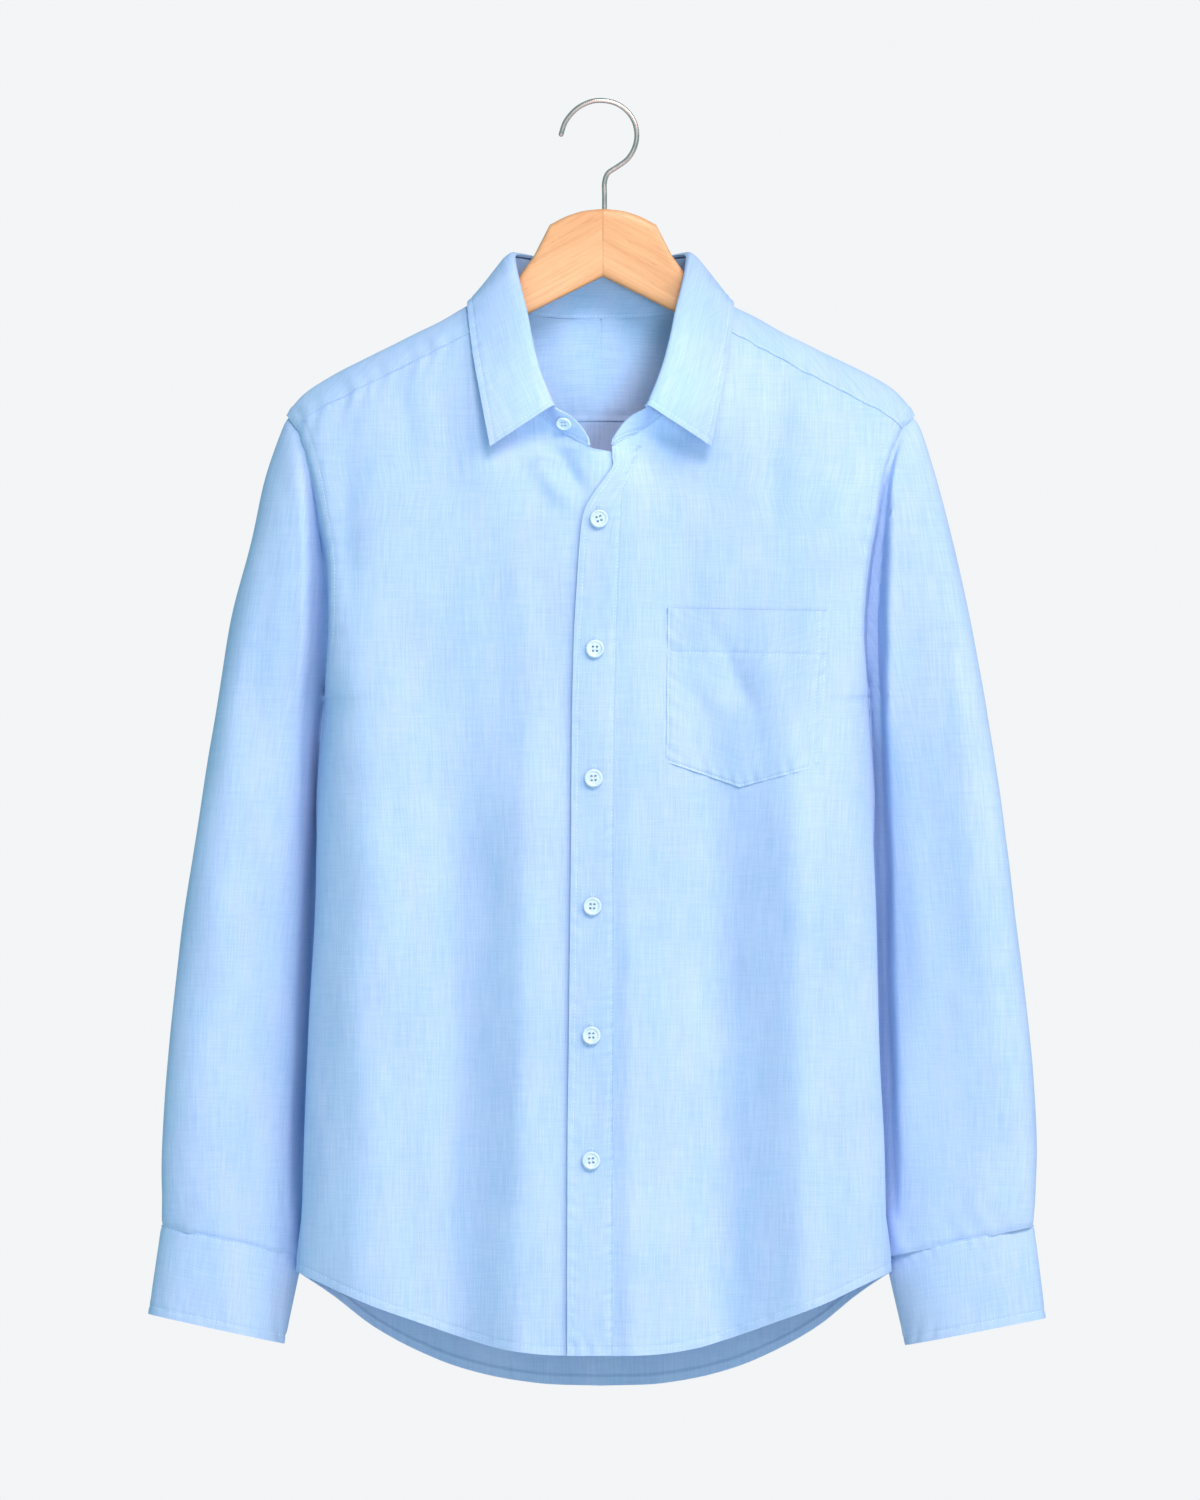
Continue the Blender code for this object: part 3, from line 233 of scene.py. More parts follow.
# share of the way along a cuff's strip where its button lies
CUFF_BUTTON_SHARE = 0.923
# Hanger: out from the middle, top, foot, half thickness, squareness of the section
HANGER = (
    (0.04, -74.2, -121.8, 6.5, 5), (12, -75.4, -127.8, 6.5, 5), (25, -79.2, -134.2, 6.6, 5),
    (37.3, -85.4, -140.4, 6.8, 5), (48.4, -107.1, -146, 7, 5), (57.8, -119.9, -150.6, 7, 4),
    (66, -130.5, -155, 6.6, 2.4), (76, -137.5, -160.5, 6.8, 2), (94, -145.3, -169.5, 7.6, 2),
    (130, -164.4, -187, 8.4, 2), (165, -182.5, -203, 8.6, 2), (187, -194.1, -213, 8.6, 2),
    (196, -199.8, -214.5, 7.6, 2), (200.5, -205, -211.5, 3.8, 2),
)
# rows of its crisp corner and of the foot of its slope
HANGER_CORNER_ROW, HANGER_NECK_ROW = 3, 5
# between these distances its arms move over to the shirt's middle
ARM_START, ARM_MATCH = 57.8, 94.0
HANGER_SIDES, HANGER_STEP = 48, 3.0
WIRE_RADIUS, WIRE_FOOT, STEM_X = 1.75, -96.5, 1.05
# out, height: the middle of the wire from its tip
HOOK = (
    (-29.4, -22.1), (-26.2, -13), (-18.9, -4.4), (-9.9, 0.5), (-1.4, 1.75), (8.3, 0), (16.4, -5.2),
    (21.9, -13.2), (23.7, -22.5), (22, -31.5), (17.2, -39.3), (9.6, -45), (3.4, -49.3),
    (STEM_X, -56), (STEM_X, -66), (STEM_X, WIRE_FOOT),
)
HOOK_STEPS, HOOK_SIDES = 8, 24
TIP_RINGS = (0.05, 0.35, 0.62, 0.82, 0.95)
WIRE_TIP = 0.9


def ease(share):
    """A soft step from 0 to 1."""
    share = np.clip(share, 0.0, 1.0)
    return share * share * (3.0 - 2.0 * share)


def within(value, low, high, low_fade, high_fade):
    """A share that is 1 between two values and fades just inside them."""
    return ease((value - low) / low_fade) * ease((high - value) / high_fade)


def part_way(start, end, share):
    """A place on the straight way from one place to another."""
    return tuple(a + (b - a) * share for a, b in zip(start, end))


def slopes(keys, values):
    """Slopes at a table's rows that keep its curve from overshooting."""
    steps = [(values[i + 1] - values[i]) / (keys[i + 1] - keys[i]) for i in range(len(keys) - 1)]
    found = [steps[0]]
    for before, after in zip(steps, steps[1:]):
        found.append(0.0 if before * after <= 0 else 2 * before * after / (before + after))
    return found + [steps[-1]]


def read(table, at, column=1):
    """A column of a table at a value of its first column, on a smooth curve."""
    rows = sorted(table)
    keys, values = [row[0] for row in rows], [row[column] for row in rows]
    if at <= keys[0]:
        return values[0]
    if at >= keys[-1]:
        return values[-1]
    i = bisect.bisect_right(keys, at) - 1
    width, slope = keys[i + 1] - keys[i], slopes(keys, values)
    t = (at - keys[i]) / width
    start = t * (1 - t) * (1 - t) * width * slope[i]
    end = -t * t * (1 - t) * width * slope[i + 1]
    return values[i] + (values[i + 1] - values[i]) * ease(t) + start + end


def both(make):
    """A row from the right side to the left, from what makes either half outward."""
    return make(RIGHT)[::-1] + make(LEFT)[1:]


def shoulder(x):
    """Height of the shoulder line at a distance from the middle."""
    return read(SHOULDER_LINE, abs(x))


def half_width(side, z):
    """Half width of the body at a height."""
    return read(BODY, z, COLUMN[side])


def folds(x, z, face):
    """How far the long soft folds bring the cloth out."""
    total = 0.0
    for top_x, hem_x, top_z, hem_z, size, half in FOLDS[face]:
        share = (z - top_z) / (hem_z - top_z)
        middle = top_x + (hem_x - top_x) * share
        total += size * ease(share * FOLD_RISE) * math.exp(-(((x - middle) / half) ** 2))
    return total


def chest(x, z, face):
    """Where the cloth hangs, forward or back, away from the sides."""
    left = 1 - min(max(shoulder(x) - z, 0.0) / FALL, 1.0)
    depth = read(BODY, z, BODY_DEPTH[face]) * (1 - left * left) ** FALL_POWER + folds(x, z, face)
    if face == FRONT:
        for across, height, drop, wide, tall in NECK_HOLLOWS:
            depth -= drop * math.exp(-(((x - across) / wide) ** 2) - ((z - height) / tall) ** 2)
    return face * depth


def armhole(side, drop, face):
    """A point of the armhole seam at a drop below the shoulder's end."""
    inward = read(ARMHOLE, drop, COLUMN[side])
    return Vector((side * (SHOULDER_X - inward), face * read(ARMHOLE, drop, 3), SHOULDER_Z - drop))


def cloth_point(x, z, face, outer):
    """A point of a row of cloth that ends at an outer point, rounded over towards it."""
    share = min(abs(x) / abs(outer.x), 1.0)
    rounding = math.sqrt(max(1 - share ** read(BODY, z, BODY_SQUARE), 0.0))
    return Vector((x, outer.y + (chest(x, z, face) - outer.y) * rounding, z))


def lower_row(side, face, share, inner_x):
    """A row below the armholes: share 0 is the hem and 1 the underarm."""
    hem_z, column = (FRONT_HEM_Z, 1) if face == FRONT else (BACK_HEM_Z, 2)
    side_z = (1 - share) * (hem_z + HEM[-1][column]) + share * (SHOULDER_Z - UNDERARM_DROP)
    outer = Vector((side * half_width(side, side_z), 0.0, side_z))
    points = []
    for f in COLUMNS:
        x = inner_x + (outer.x - inner_x) * f
        hem = hem_z + read(HEM, min(abs(x / outer.x), 1.0), column)
        under = UNDERARM_MIDDLE_Z + (SHOULDER_Z - UNDERARM_DROP - UNDERARM_MIDDLE_Z) * f
        points.append(cloth_point(x, (1 - share) * hem + share * under, face, outer))
    return points


def upper_row(inner, outer, face, shoulder_share, bow=1.0, hug=1.0):
    """A row above the underarm, from an inner (x, z) to a point of the armhole."""
    inner_drop, outer_drop = shoulder(inner[0]) - inner[1], shoulder(outer.x) - outer.z
    points = []
    for f in COLUMNS:
        x = inner[0] + (outer.x - inner[0]) * f
        straight = inner[1] + (outer.z - inner[1]) * f**bow
        along = shoulder(x) - inner_drop - (outer_drop - inner_drop) * (1 - (1 - f) ** hug)
        points.append(cloth_point(x, straight + (along - straight) * shoulder_share, face, outer))
    return points


def yoke_row(side, row):
    """A row of the yoke, from the back seam (row 0) over the shoulder to the front seam."""
    drops = (SIDE_DROPS[-1],) + RIDGE_BACK_DROPS + RIDGE_FRONT_DROPS + FRONT_YOKE_DROPS[-1:]
    face = BACK if row <= len(RIDGE_BACK_DROPS) else FRONT
    outer = armhole(side, drops[row], face)
    if row < YOKE_MIDDLE_ROWS:
        inner = (0.0, YOKE_BACK_Z + (NECK[0][1] - YOKE_BACK_Z) * row / YOKE_MIDDLE_ROWS)
    else:
        neck = NECK[row - YOKE_MIDDLE_ROWS]
        inner = (side * neck[0], neck[1])
    bow = YOKE_BOW + (1 - YOKE_BOW) * row / (len(drops) - 1)
    return upper_row(inner, outer, face, ease(row / YOKE_TURN_ROWS), bow, YOKE_HUG.get(row, 1.0))


def closing_edge(side, z):
    """The front's edge: the button stand on the right, under the placket on the left."""
    return BUTTON_STAND_X if side == RIGHT else read(PLACKET, z) + UNDER_PLACKET


def lap(x):
    """How far the left front lies in front of the right one."""
    return LAP_STEP * (1 - ease((x - LAP_FLAT) / LAP_FADE))


def front_grid(side):
    """Rows of a front from the hem to the yoke seam."""
    rows = []
    for i in range(LOWER_ROWS):
        share = i / LOWER_ROWS
        z = FRONT_HEM_Z + (UNDERARM_MIDDLE_Z - FRONT_HEM_Z) * share
        rows.append(lower_row(side, FRONT, share, closing_edge(side, z)))
    inner = [(closing_edge(side, z), z) for z in (UNDERARM_MIDDLE_Z,) + CLOSING_HEIGHTS[side]]
    inner += [(side * row[0], row[1]) for row in NECK[: NECK_YOKE_ROW - 1 : -1]]
    drops = SIDE_DROPS + FRONT_YOKE_DROPS
    for i, drop in enumerate(drops[:-1]):
        turn = (i / (len(drops) - 1)) ** FRONT_TURN
        rows.append(upper_row(inner[i], armhole(side, drop, FRONT), FRONT, turn))
    rows.append(yoke_row(side, YOKE_ROWS - 1))
    if side == LEFT:
        rows = [[p - Vector((0, lap(p.x), 0)) for p in row] for row in rows]
    return rows


def back_grid():
    """Rows of the back from the hem to the yoke seam, from the right side to the left."""
    shares = [i / LOWER_ROWS for i in range(LOWER_ROWS)]
    rows = [both(lambda side: lower_row(side, BACK, share, 0.0)) for share in shares]
    last = len(SIDE_DROPS) - 1
    for i, drop in enumerate(SIDE_DROPS[:-1]):
        middle = (0.0, UNDERARM_MIDDLE_Z + (YOKE_BACK_Z - UNDERARM_MIDDLE_Z) * i / last)
        bow = 1 + (YOKE_BOW - 1) * (i / last) ** 2
        rows.append(both(lambda side: upper_row(middle, armhole(side, drop, BACK), BACK, 0.0, bow)))
    return rows + [both(lambda side: yoke_row(side, 0))]


def inset(rows, first, last):
    """Pull in a grid's first and last row."""
    moved = [[p.copy() for p in row] for row in rows]
    for j in range(len(rows[0])):
        moved[0][j] += (rows[1][j] - rows[0][j]).normalized() * first
        moved[-1][j] += (rows[-2][j] - rows[-1][j]).normalized() * last
    return moved


def neck_seam(side, row):
    """A point of the neck seam."""
    x, z = side * NECK[row][0], NECK[row][1]
    y = chest(x, z, BACK if row < NECK_RIDGE_ROW else FRONT) if row != NECK_RIDGE_ROW else 0.0
    return Vector((x, y, z))


def stand_columns(side):
    """Foot and fold of the collar stand, from the middle of the back to its front end."""
    feet = [neck_seam(side, i) for i in range(len(NECK))]
    folds = [Vector((side * row[2], row[3], row[4])) for row in NECK]
    pairs = list(zip(feet, folds))
    more = [(feet[-2].lerp(feet[-1], s), Vector((side * x, y, z))) for s, x, y, z in STAND_END]
    return pairs[:-1] + more + pairs[-1:]


def stand_grid():
    """Columns of the collar stand from its right front end round the back to the left."""
    rows = []
    for foot, fold in both(stand_columns):
        up = (fold - foot).normalized()
        foot, fold = foot + up * STAND_LIFT, fold - up * STAND_UNDER_FOLD
        rows.append([foot.lerp(fold, i / STAND_FINE_ROWS) for i in range(STAND_FINE_ROWS + 1)])
    return rows


def leaf_columns(side):
    """Points of the collar leaf from the fold to its outer edge, for each row of the neck table."""
    found = []
    for i in range(LEAF_END_ROW + 1):
        row, before, after = NECK[i], NECK[max(i - 1, 0)], NECK[min(i + 1, LEAF_END_ROW)]
        fold, edge = (Vector((side * row[k], row[k + 1], row[k + 2])) for k in (2, 5))
        along = Vector((side * (after[2] - before[2]), after[3] - before[3], after[4] - before[4]))
        out = along.cross(edge - fold).normalized() * side
        up = (fold - neck_seam(side, i)).normalized()
        found.append([fold.lerp(edge, s) + up * lift + out * belly for s, lift, belly in LEAF_ROLL])
    return found


def leaf_grid():
    """Columns of the collar leaf from its right point round the back to the left point."""
    rows = both(leaf_columns)
    rows[LEAF_END_ROW] = [Vector((0.0, p.y, p.z)) for p in rows[LEAF_END_ROW]]
    return rows


def ring_point(side, outer, inner, depth, drop, face):
    """A point of a sleeve's oval between its edges, matched to an armhole point."""
    along, square = 1 - 2 * drop / UNDERARM_DROP, SLEEVE_SQUARE[side]
    across = max(1 - abs(along) ** square, 0.0) ** (1 / square)
    return (outer + inner) / 2 + (outer - inner) / 2 * along + Vector((0, face * depth * across, 0))


def sleeve_grid(side):
    """Rings of a sleeve from the armhole to the cuff seam."""
    front = SIDE_DROPS + FRONT_YOKE_DROPS + RIDGE_FRONT_DROPS
    back = RIDGE_BACK_DROPS[::-1] + SIDE_DROPS[::-1][:-1]
    ring = [(drop, FRONT) for drop in front] + [(drop, BACK) for drop in back]
    first = []
    for drop, face in ring:
        share = ease((drop - UNDERARM_FROM) / (UNDERARM_DROP - UNDERARM_FROM))
        out = SLEEVE_SEAM + (UNDERARM_SEAM - SLEEVE_SEAM) * share
        first.append(armhole(side, drop, face) + Vector((side * out, 0.0, 0.0)))
    rows = [first]
    for i, (outer_z, inner_z, past, outer_y, inner_y, depth) in enumerate(SLEEVE):
        outer = Vector((side * read(SLEEVE_EDGE, outer_z, COLUMN[side]), outer_y, outer_z))
        inner = Vector((side * (half_width(side, inner_z) + past), inner_y, inner_z))
        row = [ring_point(side, outer, inner, depth, *spot) for spot in ring]
        if i < len(SLEEVE_BLEND):
            row = [a.lerp(b, SLEEVE_BLEND[i]) for a, b in zip(first, row)]
        rows.append(row)
    return rows


def cuff_grid(side):
    """Columns of a cuff, a strip that goes once round and laps over its own start."""
    tops, feet = CUFFS[side][:2], CUFFS[side][2:]
    columns = []
    for j in range(CUFF_POINTS + 1):
        angle = CUFF_START + (2 * math.pi + CUFF_LAP) * j / CUFF_POINTS
        lifted = CUFF_LIFT * ease((j / CUFF_POINTS - CUFF_LIFT_FROM) / CUFF_LIFT_LENGTH)
        column = []
        for i in range(CUFF_ROWS + 1):
            edges = []
            for top, foot, y in zip(tops, feet, CUFF_BACK):
                x, z = part_way(top, foot, i / CUFF_ROWS)
                edges.append(Vector((side * x, y, z - CUFF_SEAM)))
            middle, arm = (edges[0] + edges[1]) / 2, (edges[0] - edges[1]) / 2
            point = middle + arm * math.cos(angle) * (1 + lifted / arm.length)
            column.append(point - Vector((0.0, (CUFF_DEPTH + lifted) * math.sin(angle), 0.0)))
        columns.append(column)
    return columns


def curve_through(values, keys, at):
    """A smooth curve through the rows of an array, read at new keys."""
    steps = np.diff(keys)
    rise = np.diff(values, axis=0) / steps[:, None, None]
    share = (steps[:-1] / (steps[:-1] + steps[1:]))[:, None, None]
    slope = np.concatenate((rise[:1], rise[:-1] * (1 - share) + rise[1:] * share, rise[-1:]))
    i = np.clip(np.searchsorted(keys, at, side="right") - 1, 0, len(keys) - 2)
    width = steps[i][:, None, None]
    t = ((at - keys[i]) / steps[i])[:, None, None]
    bend = (slope[i] * (1 - t) - slope[i + 1] * t) * t * (1 - t) * width
    return values[i] + (values[i + 1] - values[i]) * t * t * (3 - 2 * t) + bend


def spread_keys(total, cell, edge_cell, strip):
    """Keys from 0 to a length, closer together along both ends."""
    if total < 4 * strip or edge_cell >= cell:
        return np.linspace(0.0, total, max(int(round(total / min(cell, edge_cell))), 2) + 1)
    ends = np.arange(0.0, strip, edge_cell)
    middle = np.linspace(strip, total - strip, int(round((total - 2 * strip) / cell)) + 1)
    return np.concatenate((ends, middle, total - ends[::-1]))


def lengths(points):
    """How far each point lies from the first row, along the grid."""
    gaps = np.linalg.norm(np.diff(points, axis=0), axis=2)
    return np.concatenate((np.zeros((1, points.shape[1])), np.cumsum(gaps, axis=0)))


def refine(points, cell, edge_cell, wrap=0):
    """A finer grid along its first direction, through the same points."""
    if wrap:
        points = np.concatenate((points[-wrap:], points, points[: wrap + 1]))
    gaps = np.linalg.norm(np.diff(points, axis=0), axis=2).mean(axis=1)
    keys = np.concatenate(([0.0], np.cumsum(gaps)))
    if wrap:
        start, end = keys[wrap], keys[-wrap - 1]
        return curve_through(points, keys, start + spread_keys(end - start, cell, cell, 0.0))
    return curve_through(points, keys, spread_keys(keys[-1], cell, edge_cell, EDGE_STRIP))


def middle_line(points):
    """The shirt's own middle beside each point."""
    return points * (0.0, 0.0, 1.0)


def under_yoke(points):
    """A place well under each point."""
    return points * (1.0, 0.0, 0.0) + (0.0, 0.0, UNDER_YOKE_Z)


def ring_middle(points):
    """The middle of the ring that a point is in."""
    return points.mean(axis=1, keepdims=True)


def cuff_middle(points):
    """The middle of the cuff beside each point."""
    return points.mean(axis=0, keepdims=True)


def quads_of(rows, columns, start=0):
    """The numbers of a grid's points and the faces between them."""
    index = np.arange(rows * columns).reshape(rows, columns) + start
    quads = np.stack((index[:-1, :-1], index[:-1, 1:], index[1:, 1:], index[1:, :-1]), -1)
    return index, quads.reshape(-1, 4)


class Sheet:
    """A fine grid of cloth. A closed one has its first column again as its last."""

    def __init__(self, grid, inside, cell=CELL, edge_cell=EDGE_CELL, closed=False, fix=None):
        self.closed, self.inside, self.fix = closed, inside, fix
        points = np.array([[tuple(p) for p in row] for row in grid])
        points = refine(points, cell, edge_cell)
        points = refine(points.transpose(1, 0, 2), cell, edge_cell, 3 if closed else 0)
        self.points = points.transpose(1, 0, 2)
        self.extra_inside = np.zeros(self.points.shape[:2])
        self.face()
        down, across = lengths(self.points), lengths(self.points.transpose(1, 0, 2)).T
        self.away = {
            "first": down, "last": down[-1] - down, "start": across, "end": across[:, -1:] - across,
        }
        self.uv = np.stack((across, down), -1)

    def face(self):
        """Work out which way the cloth faces at each point."""
        up, along = np.gradient(self.points, axis=0), np.gradient(self.points, axis=1)
        if self.closed:
            along[:, 0] = along[:, -1] = self.points[:, 1] - self.points[:, -2]
        normals = np.cross(along, up)
        normals /= np.maximum(np.linalg.norm(normals, axis=2, keepdims=True), 1e-9)
        if ((self.points - self.inside(self.points)) * normals).sum() < 0:
            normals = -normals
        self.normals = normals
        if self.fix:
            self.fix(self)

    def move(self, axis, places):
        """Give one coordinate of every point a new value."""
        self.points[..., axis] = places
        self.face()

    def lift(self, height):
        """Move the cloth out by a height at each point."""
        self.points = self.points + self.normals * height[..., None]
        self.face()

    def path(self, edge, away, wall, first=0.0, last=1.0, face=1, above=-1000.0):
        """Points on the outer or inner face at a distance from an edge, with the way they face."""
        distance, points, normals = self.away[edge], self.points, self.normals
        if edge in ("start", "end"):
            distance = distance.T
            points, normals = (grid.transpose(1, 0, 2) for grid in (points, normals))
        if edge in ("last", "end"):
            distance, points, normals = distance[::-1], points[::-1], normals[::-1]
        reach = distance.shape[1] - 1
        spots, ways = [], []
        for j in range(int(first * reach), int(last * reach) + 1):
            if distance[-1, j] >= away:
                for found, grid in ((spots, points), (ways, normals)):
                    found.append([np.interp(away, distance[:, j], grid[:, j, k]) for k in range(3)])
        spots, ways = np.array(spots), np.array(ways)
        ways = face * ways / np.linalg.norm(ways, axis=1, keepdims=True)
        spots += ways * wall / 2
        kept = spots[:, 2] > above
        return spots[kept], ways[kept]


def waves(along, pitch, seed):
    """Uneven waves between about -1 and 1."""
    chance = np.random.default_rng(seed)
    total = np.zeros_like(along)
    for _ in range(5):
        rate = 2 * math.pi / (pitch * chance.uniform(0.7, 1.7))
        total += np.sin(along * rate + chance.uniform(0, 2 * math.pi)) * chance.uniform(0.4, 0.8)
    return total / 1.7


def unevenness(sheet, size):
    """The gentle dents that linen keeps, the same on every piece where they meet."""
    chance = np.random.default_rng(11)
    total = np.zeros(sheet.points.shape[:-1])
    for _ in range(14):
        way = chance.normal(size=3)
        way /= np.linalg.norm(way)
        way[2] /= UNEVEN_STRETCH
        rate = 2 * math.pi / (UNEVEN_PITCH * chance.uniform(0.7, 2.0))
        total += np.sin(sheet.points @ way * rate + chance.uniform(0, 2 * math.pi))
    return size * total / 4.0


def creases(table, sheet):
    """Height of the soft ridges and troughs that a table names by their ends."""
    x, z = sheet.points[..., 0], sheet.points[..., 2]
    total = np.zeros_like(x)
    for x0, z0, x1, z1, size, half, bend in table:
        run, rise = x1 - x0, z1 - z0
        length = math.hypot(run, rise)
        t = ((x - x0) * run + (z - z0) * rise) / length**2
        off = ((x - x0) * rise - (z - z0) * run) / length - bend * 4 * t * (1 - t)
        fade = within(t, -CREASE_TAIL, 1 + CREASE_TAIL, CREASE_RISE, CREASE_RISE)
        total += size * fade * np.exp(-((off / half) ** 2))
    return total


def ridge(sheet, edge, away, half):
    """A share that is 1 at a distance from an edge and fades on both sides."""
    return np.exp(-(((sheet.away[edge] - away) / half) ** 2))


def sewn_edge(sheet, edge, fold, inside, dip, pucker, reach, pitch, seed, run=None):
    """Height along a sewn edge: a dip at the stitches, puckers about them, a fold inside."""
    away = sheet.away[edge]
    along = sheet.away["start" if edge in ("first", "last") else "first"]
    if run is not None:
        along = sheet.points @ np.array(run)
    height = pucker * ridge(sheet, edge, fold, reach)
    height *= waves(along + away * PUCKER_SLANT, pitch, seed)
    if inside:
        sheet.extra_inside += inside * (1 - ease(away - fold + 0.5))
    return height - dip * ridge(sheet, edge, fold, GROOVE)


def outward(mesh, weld=False):
    """Turn a closed mesh's faces outward, after welding its points and dropping doubled faces."""
    work = bmesh.new()
    work.from_mesh(mesh)
    if weld:
        bmesh.ops.remove_doubles(work, verts=work.verts, dist=WELD)
        seen = {}
        for face in work.faces:
            seen.setdefault(tuple(sorted(v.index for v in face.verts)), []).append(face)
        inner = [face for found in seen.values() if len(found) > 1 for face in found]
        bmesh.ops.delete(work, geom=inner, context="FACES_ONLY")
    bmesh.ops.recalc_face_normals(work, faces=work.faces)
    work.to_mesh(mesh)
    work.free()


def put(name, mesh, material, node=None, shift=MIDDLE_X):
    """Put a mesh in the scene, smooth, on the part's body, in place of a node if one is named."""
    mesh.polygons.foreach_set("use_smooth", [True] * len(mesh.polygons))
    mesh.set_sharp_from_angle(angle=SHARP_ANGLE)
    mesh.materials.clear()
    mesh.materials.append(material)
    if shift:
        mesh.transform(Matrix.Translation((shift * MM, 0.0, 0.0)))
    item = link(name, mesh)
    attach(item, "root")
    if node:
        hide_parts(node)
    return item


def link(name, data):
    """A new object in the scene."""
    item = bpy.data.objects.new(name, data)
    bpy.context.scene.collection.objects.link(item)
    return item


def shell(name, sheets, wall, material):
    """A closed thin shell around one or more sheets of one piece of cloth."""
    points, faces, uvs = [], [], []
    for sheet in sheets:
        rows, columns = sheet.points.shape[:2]
        count = rows * columns
        index, quads = quads_of(rows, columns, sum(len(p) for p in points))
        outside = sheet.points + sheet.normals * wall / 2
        inside = sheet.points - sheet.normals * (wall / 2 + sheet.extra_inside)[..., None]
        points += [outside.reshape(-1, 3), inside.reshape(-1, 3)]
        uvs += [sheet.uv.reshape(-1, 2)] * 2
        faces += [quads, quads[:, ::-1] + count]
        rims = [index[0], index[-1][::-1]]
        if not sheet.closed:
            rims += [index[:, 0][::-1], index[:, -1]]
        for rim in rims:
            faces.append(np.stack((rim[1:], rim[:-1], rim[:-1] + count, rim[1:] + count), -1))
    points, uvs = np.concatenate(points) * MM, np.concatenate(uvs) * MM
    faces = np.concatenate(faces)
    mesh = bpy.data.meshes.new(name)
    mesh.from_pydata(points.tolist(), [], faces.tolist())
    layer = mesh.uv_layers.new(name="cloth")
    layer.data.foreach_set("uv", uvs[faces.reshape(-1)].astype(np.float32).reshape(-1))
    outward(mesh, weld=True)
    return put(name + "_cloth", mesh, material, name)


def threads(name, middles, ways, normals, length, width, height, shift=MIDDLE_X):
    """Many short raised threads as one mesh: where each lies, how it runs, how the cloth faces."""
    middles, ways, normals = (np.array(a, float) for a in (middles, ways, normals))
    ways /= np.linalg.norm(ways, axis=1, keepdims=True)
    sides = np.cross(normals, ways)
    points = []
    for along in THREAD_RINGS:
        for side, up in THREAD_RING:
            flat = middles + ways * length * along + sides * width * side
            points.append(flat + normals * height * up)
    for along in THREAD_TIPS:
        points.append(middles + ways * length * along - normals * height * TIP_DEPTH)
    faces = [(0, 1, 5, 4), (1, 2, 6, 5), (2, 3, 7, 6), (3, 0, 4, 7)]
    faces += [(0, 8, 1), (1, 8, 2), (2, 8, 3), (3, 8, 0)]
    faces += [(5, 9, 4), (6, 9, 5), (7, 9, 6), (4, 9, 7)]
    found = [tuple(k + i * 10 for k in face) for i in range(len(middles)) for face in faces]
    mesh = bpy.data.meshes.new(name)
    mesh.from_pydata((np.stack(points, axis=1).reshape(-1, 3) * MM).tolist(), [], found)
    mesh.update()
    return put(name, mesh, THREAD, shift=shift)


def stitches(name, lines):
    """All the topstitching of one piece, from its paths."""
    found = []
    for path, faces in lines:
        gaps = np.linalg.norm(np.diff(path, axis=0), axis=1)
        keys = np.concatenate(([0.0], np.cumsum(gaps)))
        at = np.arange(STITCH_PITCH / 2, keys[-1], STITCH_PITCH)
        spots, ahead, behind, ways = (
            np.stack([np.interp(at + step, keys, values[:, k]) for k in range(3)], -1)
            for values, step in ((path, 0.0), (path, 0.5), (path, -0.5), (faces, 0.0))
        )
        found.append((spots, ahead - behind, ways / np.linalg.norm(ways, axis=1, keepdims=True)))
    middles, ways, normals = (np.concatenate([f[k] for f in found]) for k in range(3))
    threads(name, middles, ways, normals, STITCH_LENGTH, STITCH_WIDTH, STITCH_HEIGHT)


def finish(name, sheet, material, seams, lines=(), wall=CLOTH, dents=UNEVEN, more=0.0):
    """Shape a sheet by its dents and seams, close it, and sew its lines."""
    height = unevenness(sheet, dents) + more
    for seam in seams:
        height += sewn_edge(sheet, *seam)
    sheet.lift(height)
    shell(name, [sheet], wall, material)
    if lines:
        paths = [sheet.path(edge, away, wall, *rest) for edge, away, *rest in lines]
        stitches(name + "_stitches", paths)
    return sheet


def tree_of(sheet, wall):
    """A search tree of a sheet's outer face."""
    points = (sheet.points + sheet.normals * wall / 2).reshape(-1, 3)
    return BVHTree.FromPolygons(points.tolist(), quads_of(*sheet.points.shape[:2])[1].tolist())


def seen_from_front(tree, x, z):
    """The place and the facing of a sheet at an x and a height, or of the nearest place to it."""
    hit, normal, _, _ = tree.ray_cast(Vector((x, FAR_FRONT_Y, z)), Vector((0.0, 1.0, 0.0)))
    if hit is None:
        near, normal, _, _ = tree.find_nearest(Vector((x, NEAR_FRONT_Y, z)))
        hit = Vector((x, near.y, z))
    return hit, normal if normal.y < 0 else -normal


# Materials


def new_material(name):
    """A node material with an empty Principled shader."""
    material = bpy.data.materials.new(name)
    material.use_nodes = True
    return material, material.node_tree, material.node_tree.nodes["Principled BSDF"]


def feed(tree, node, **inputs):
    """Give a node's inputs a number, a colour or another node's output."""
    for key, value in inputs.items():
        give(tree, node.inputs[key.replace("_", " ")], value)


def give(tree, socket, value):
    """Give one socket a number, a colour or another node's output."""
    if isinstance(value, bpy.types.NodeSocket):
        tree.links.new(value, socket)
    else:
        socket.default_value = value


def add(tree, kind, settings=None, **inputs):
    """Add a node, with its settings and inputs, and give its outputs."""
    made = tree.nodes.new(kind)
    for key, value in (settings or {}).items():
        setattr(made, key, value)
    feed(tree, made, **inputs)
    return made.outputs


def mix(tree, share, a, b, blend="MIX"):
    """Mix two colours."""
    made = tree.nodes.new("ShaderNodeMix")
    made.data_type, made.blend_type = "RGBA", blend
    for number, value in ((0, share), (6, a), (7, b)):
        give(tree, made.inputs[number], value)
    return made.outputs[2]


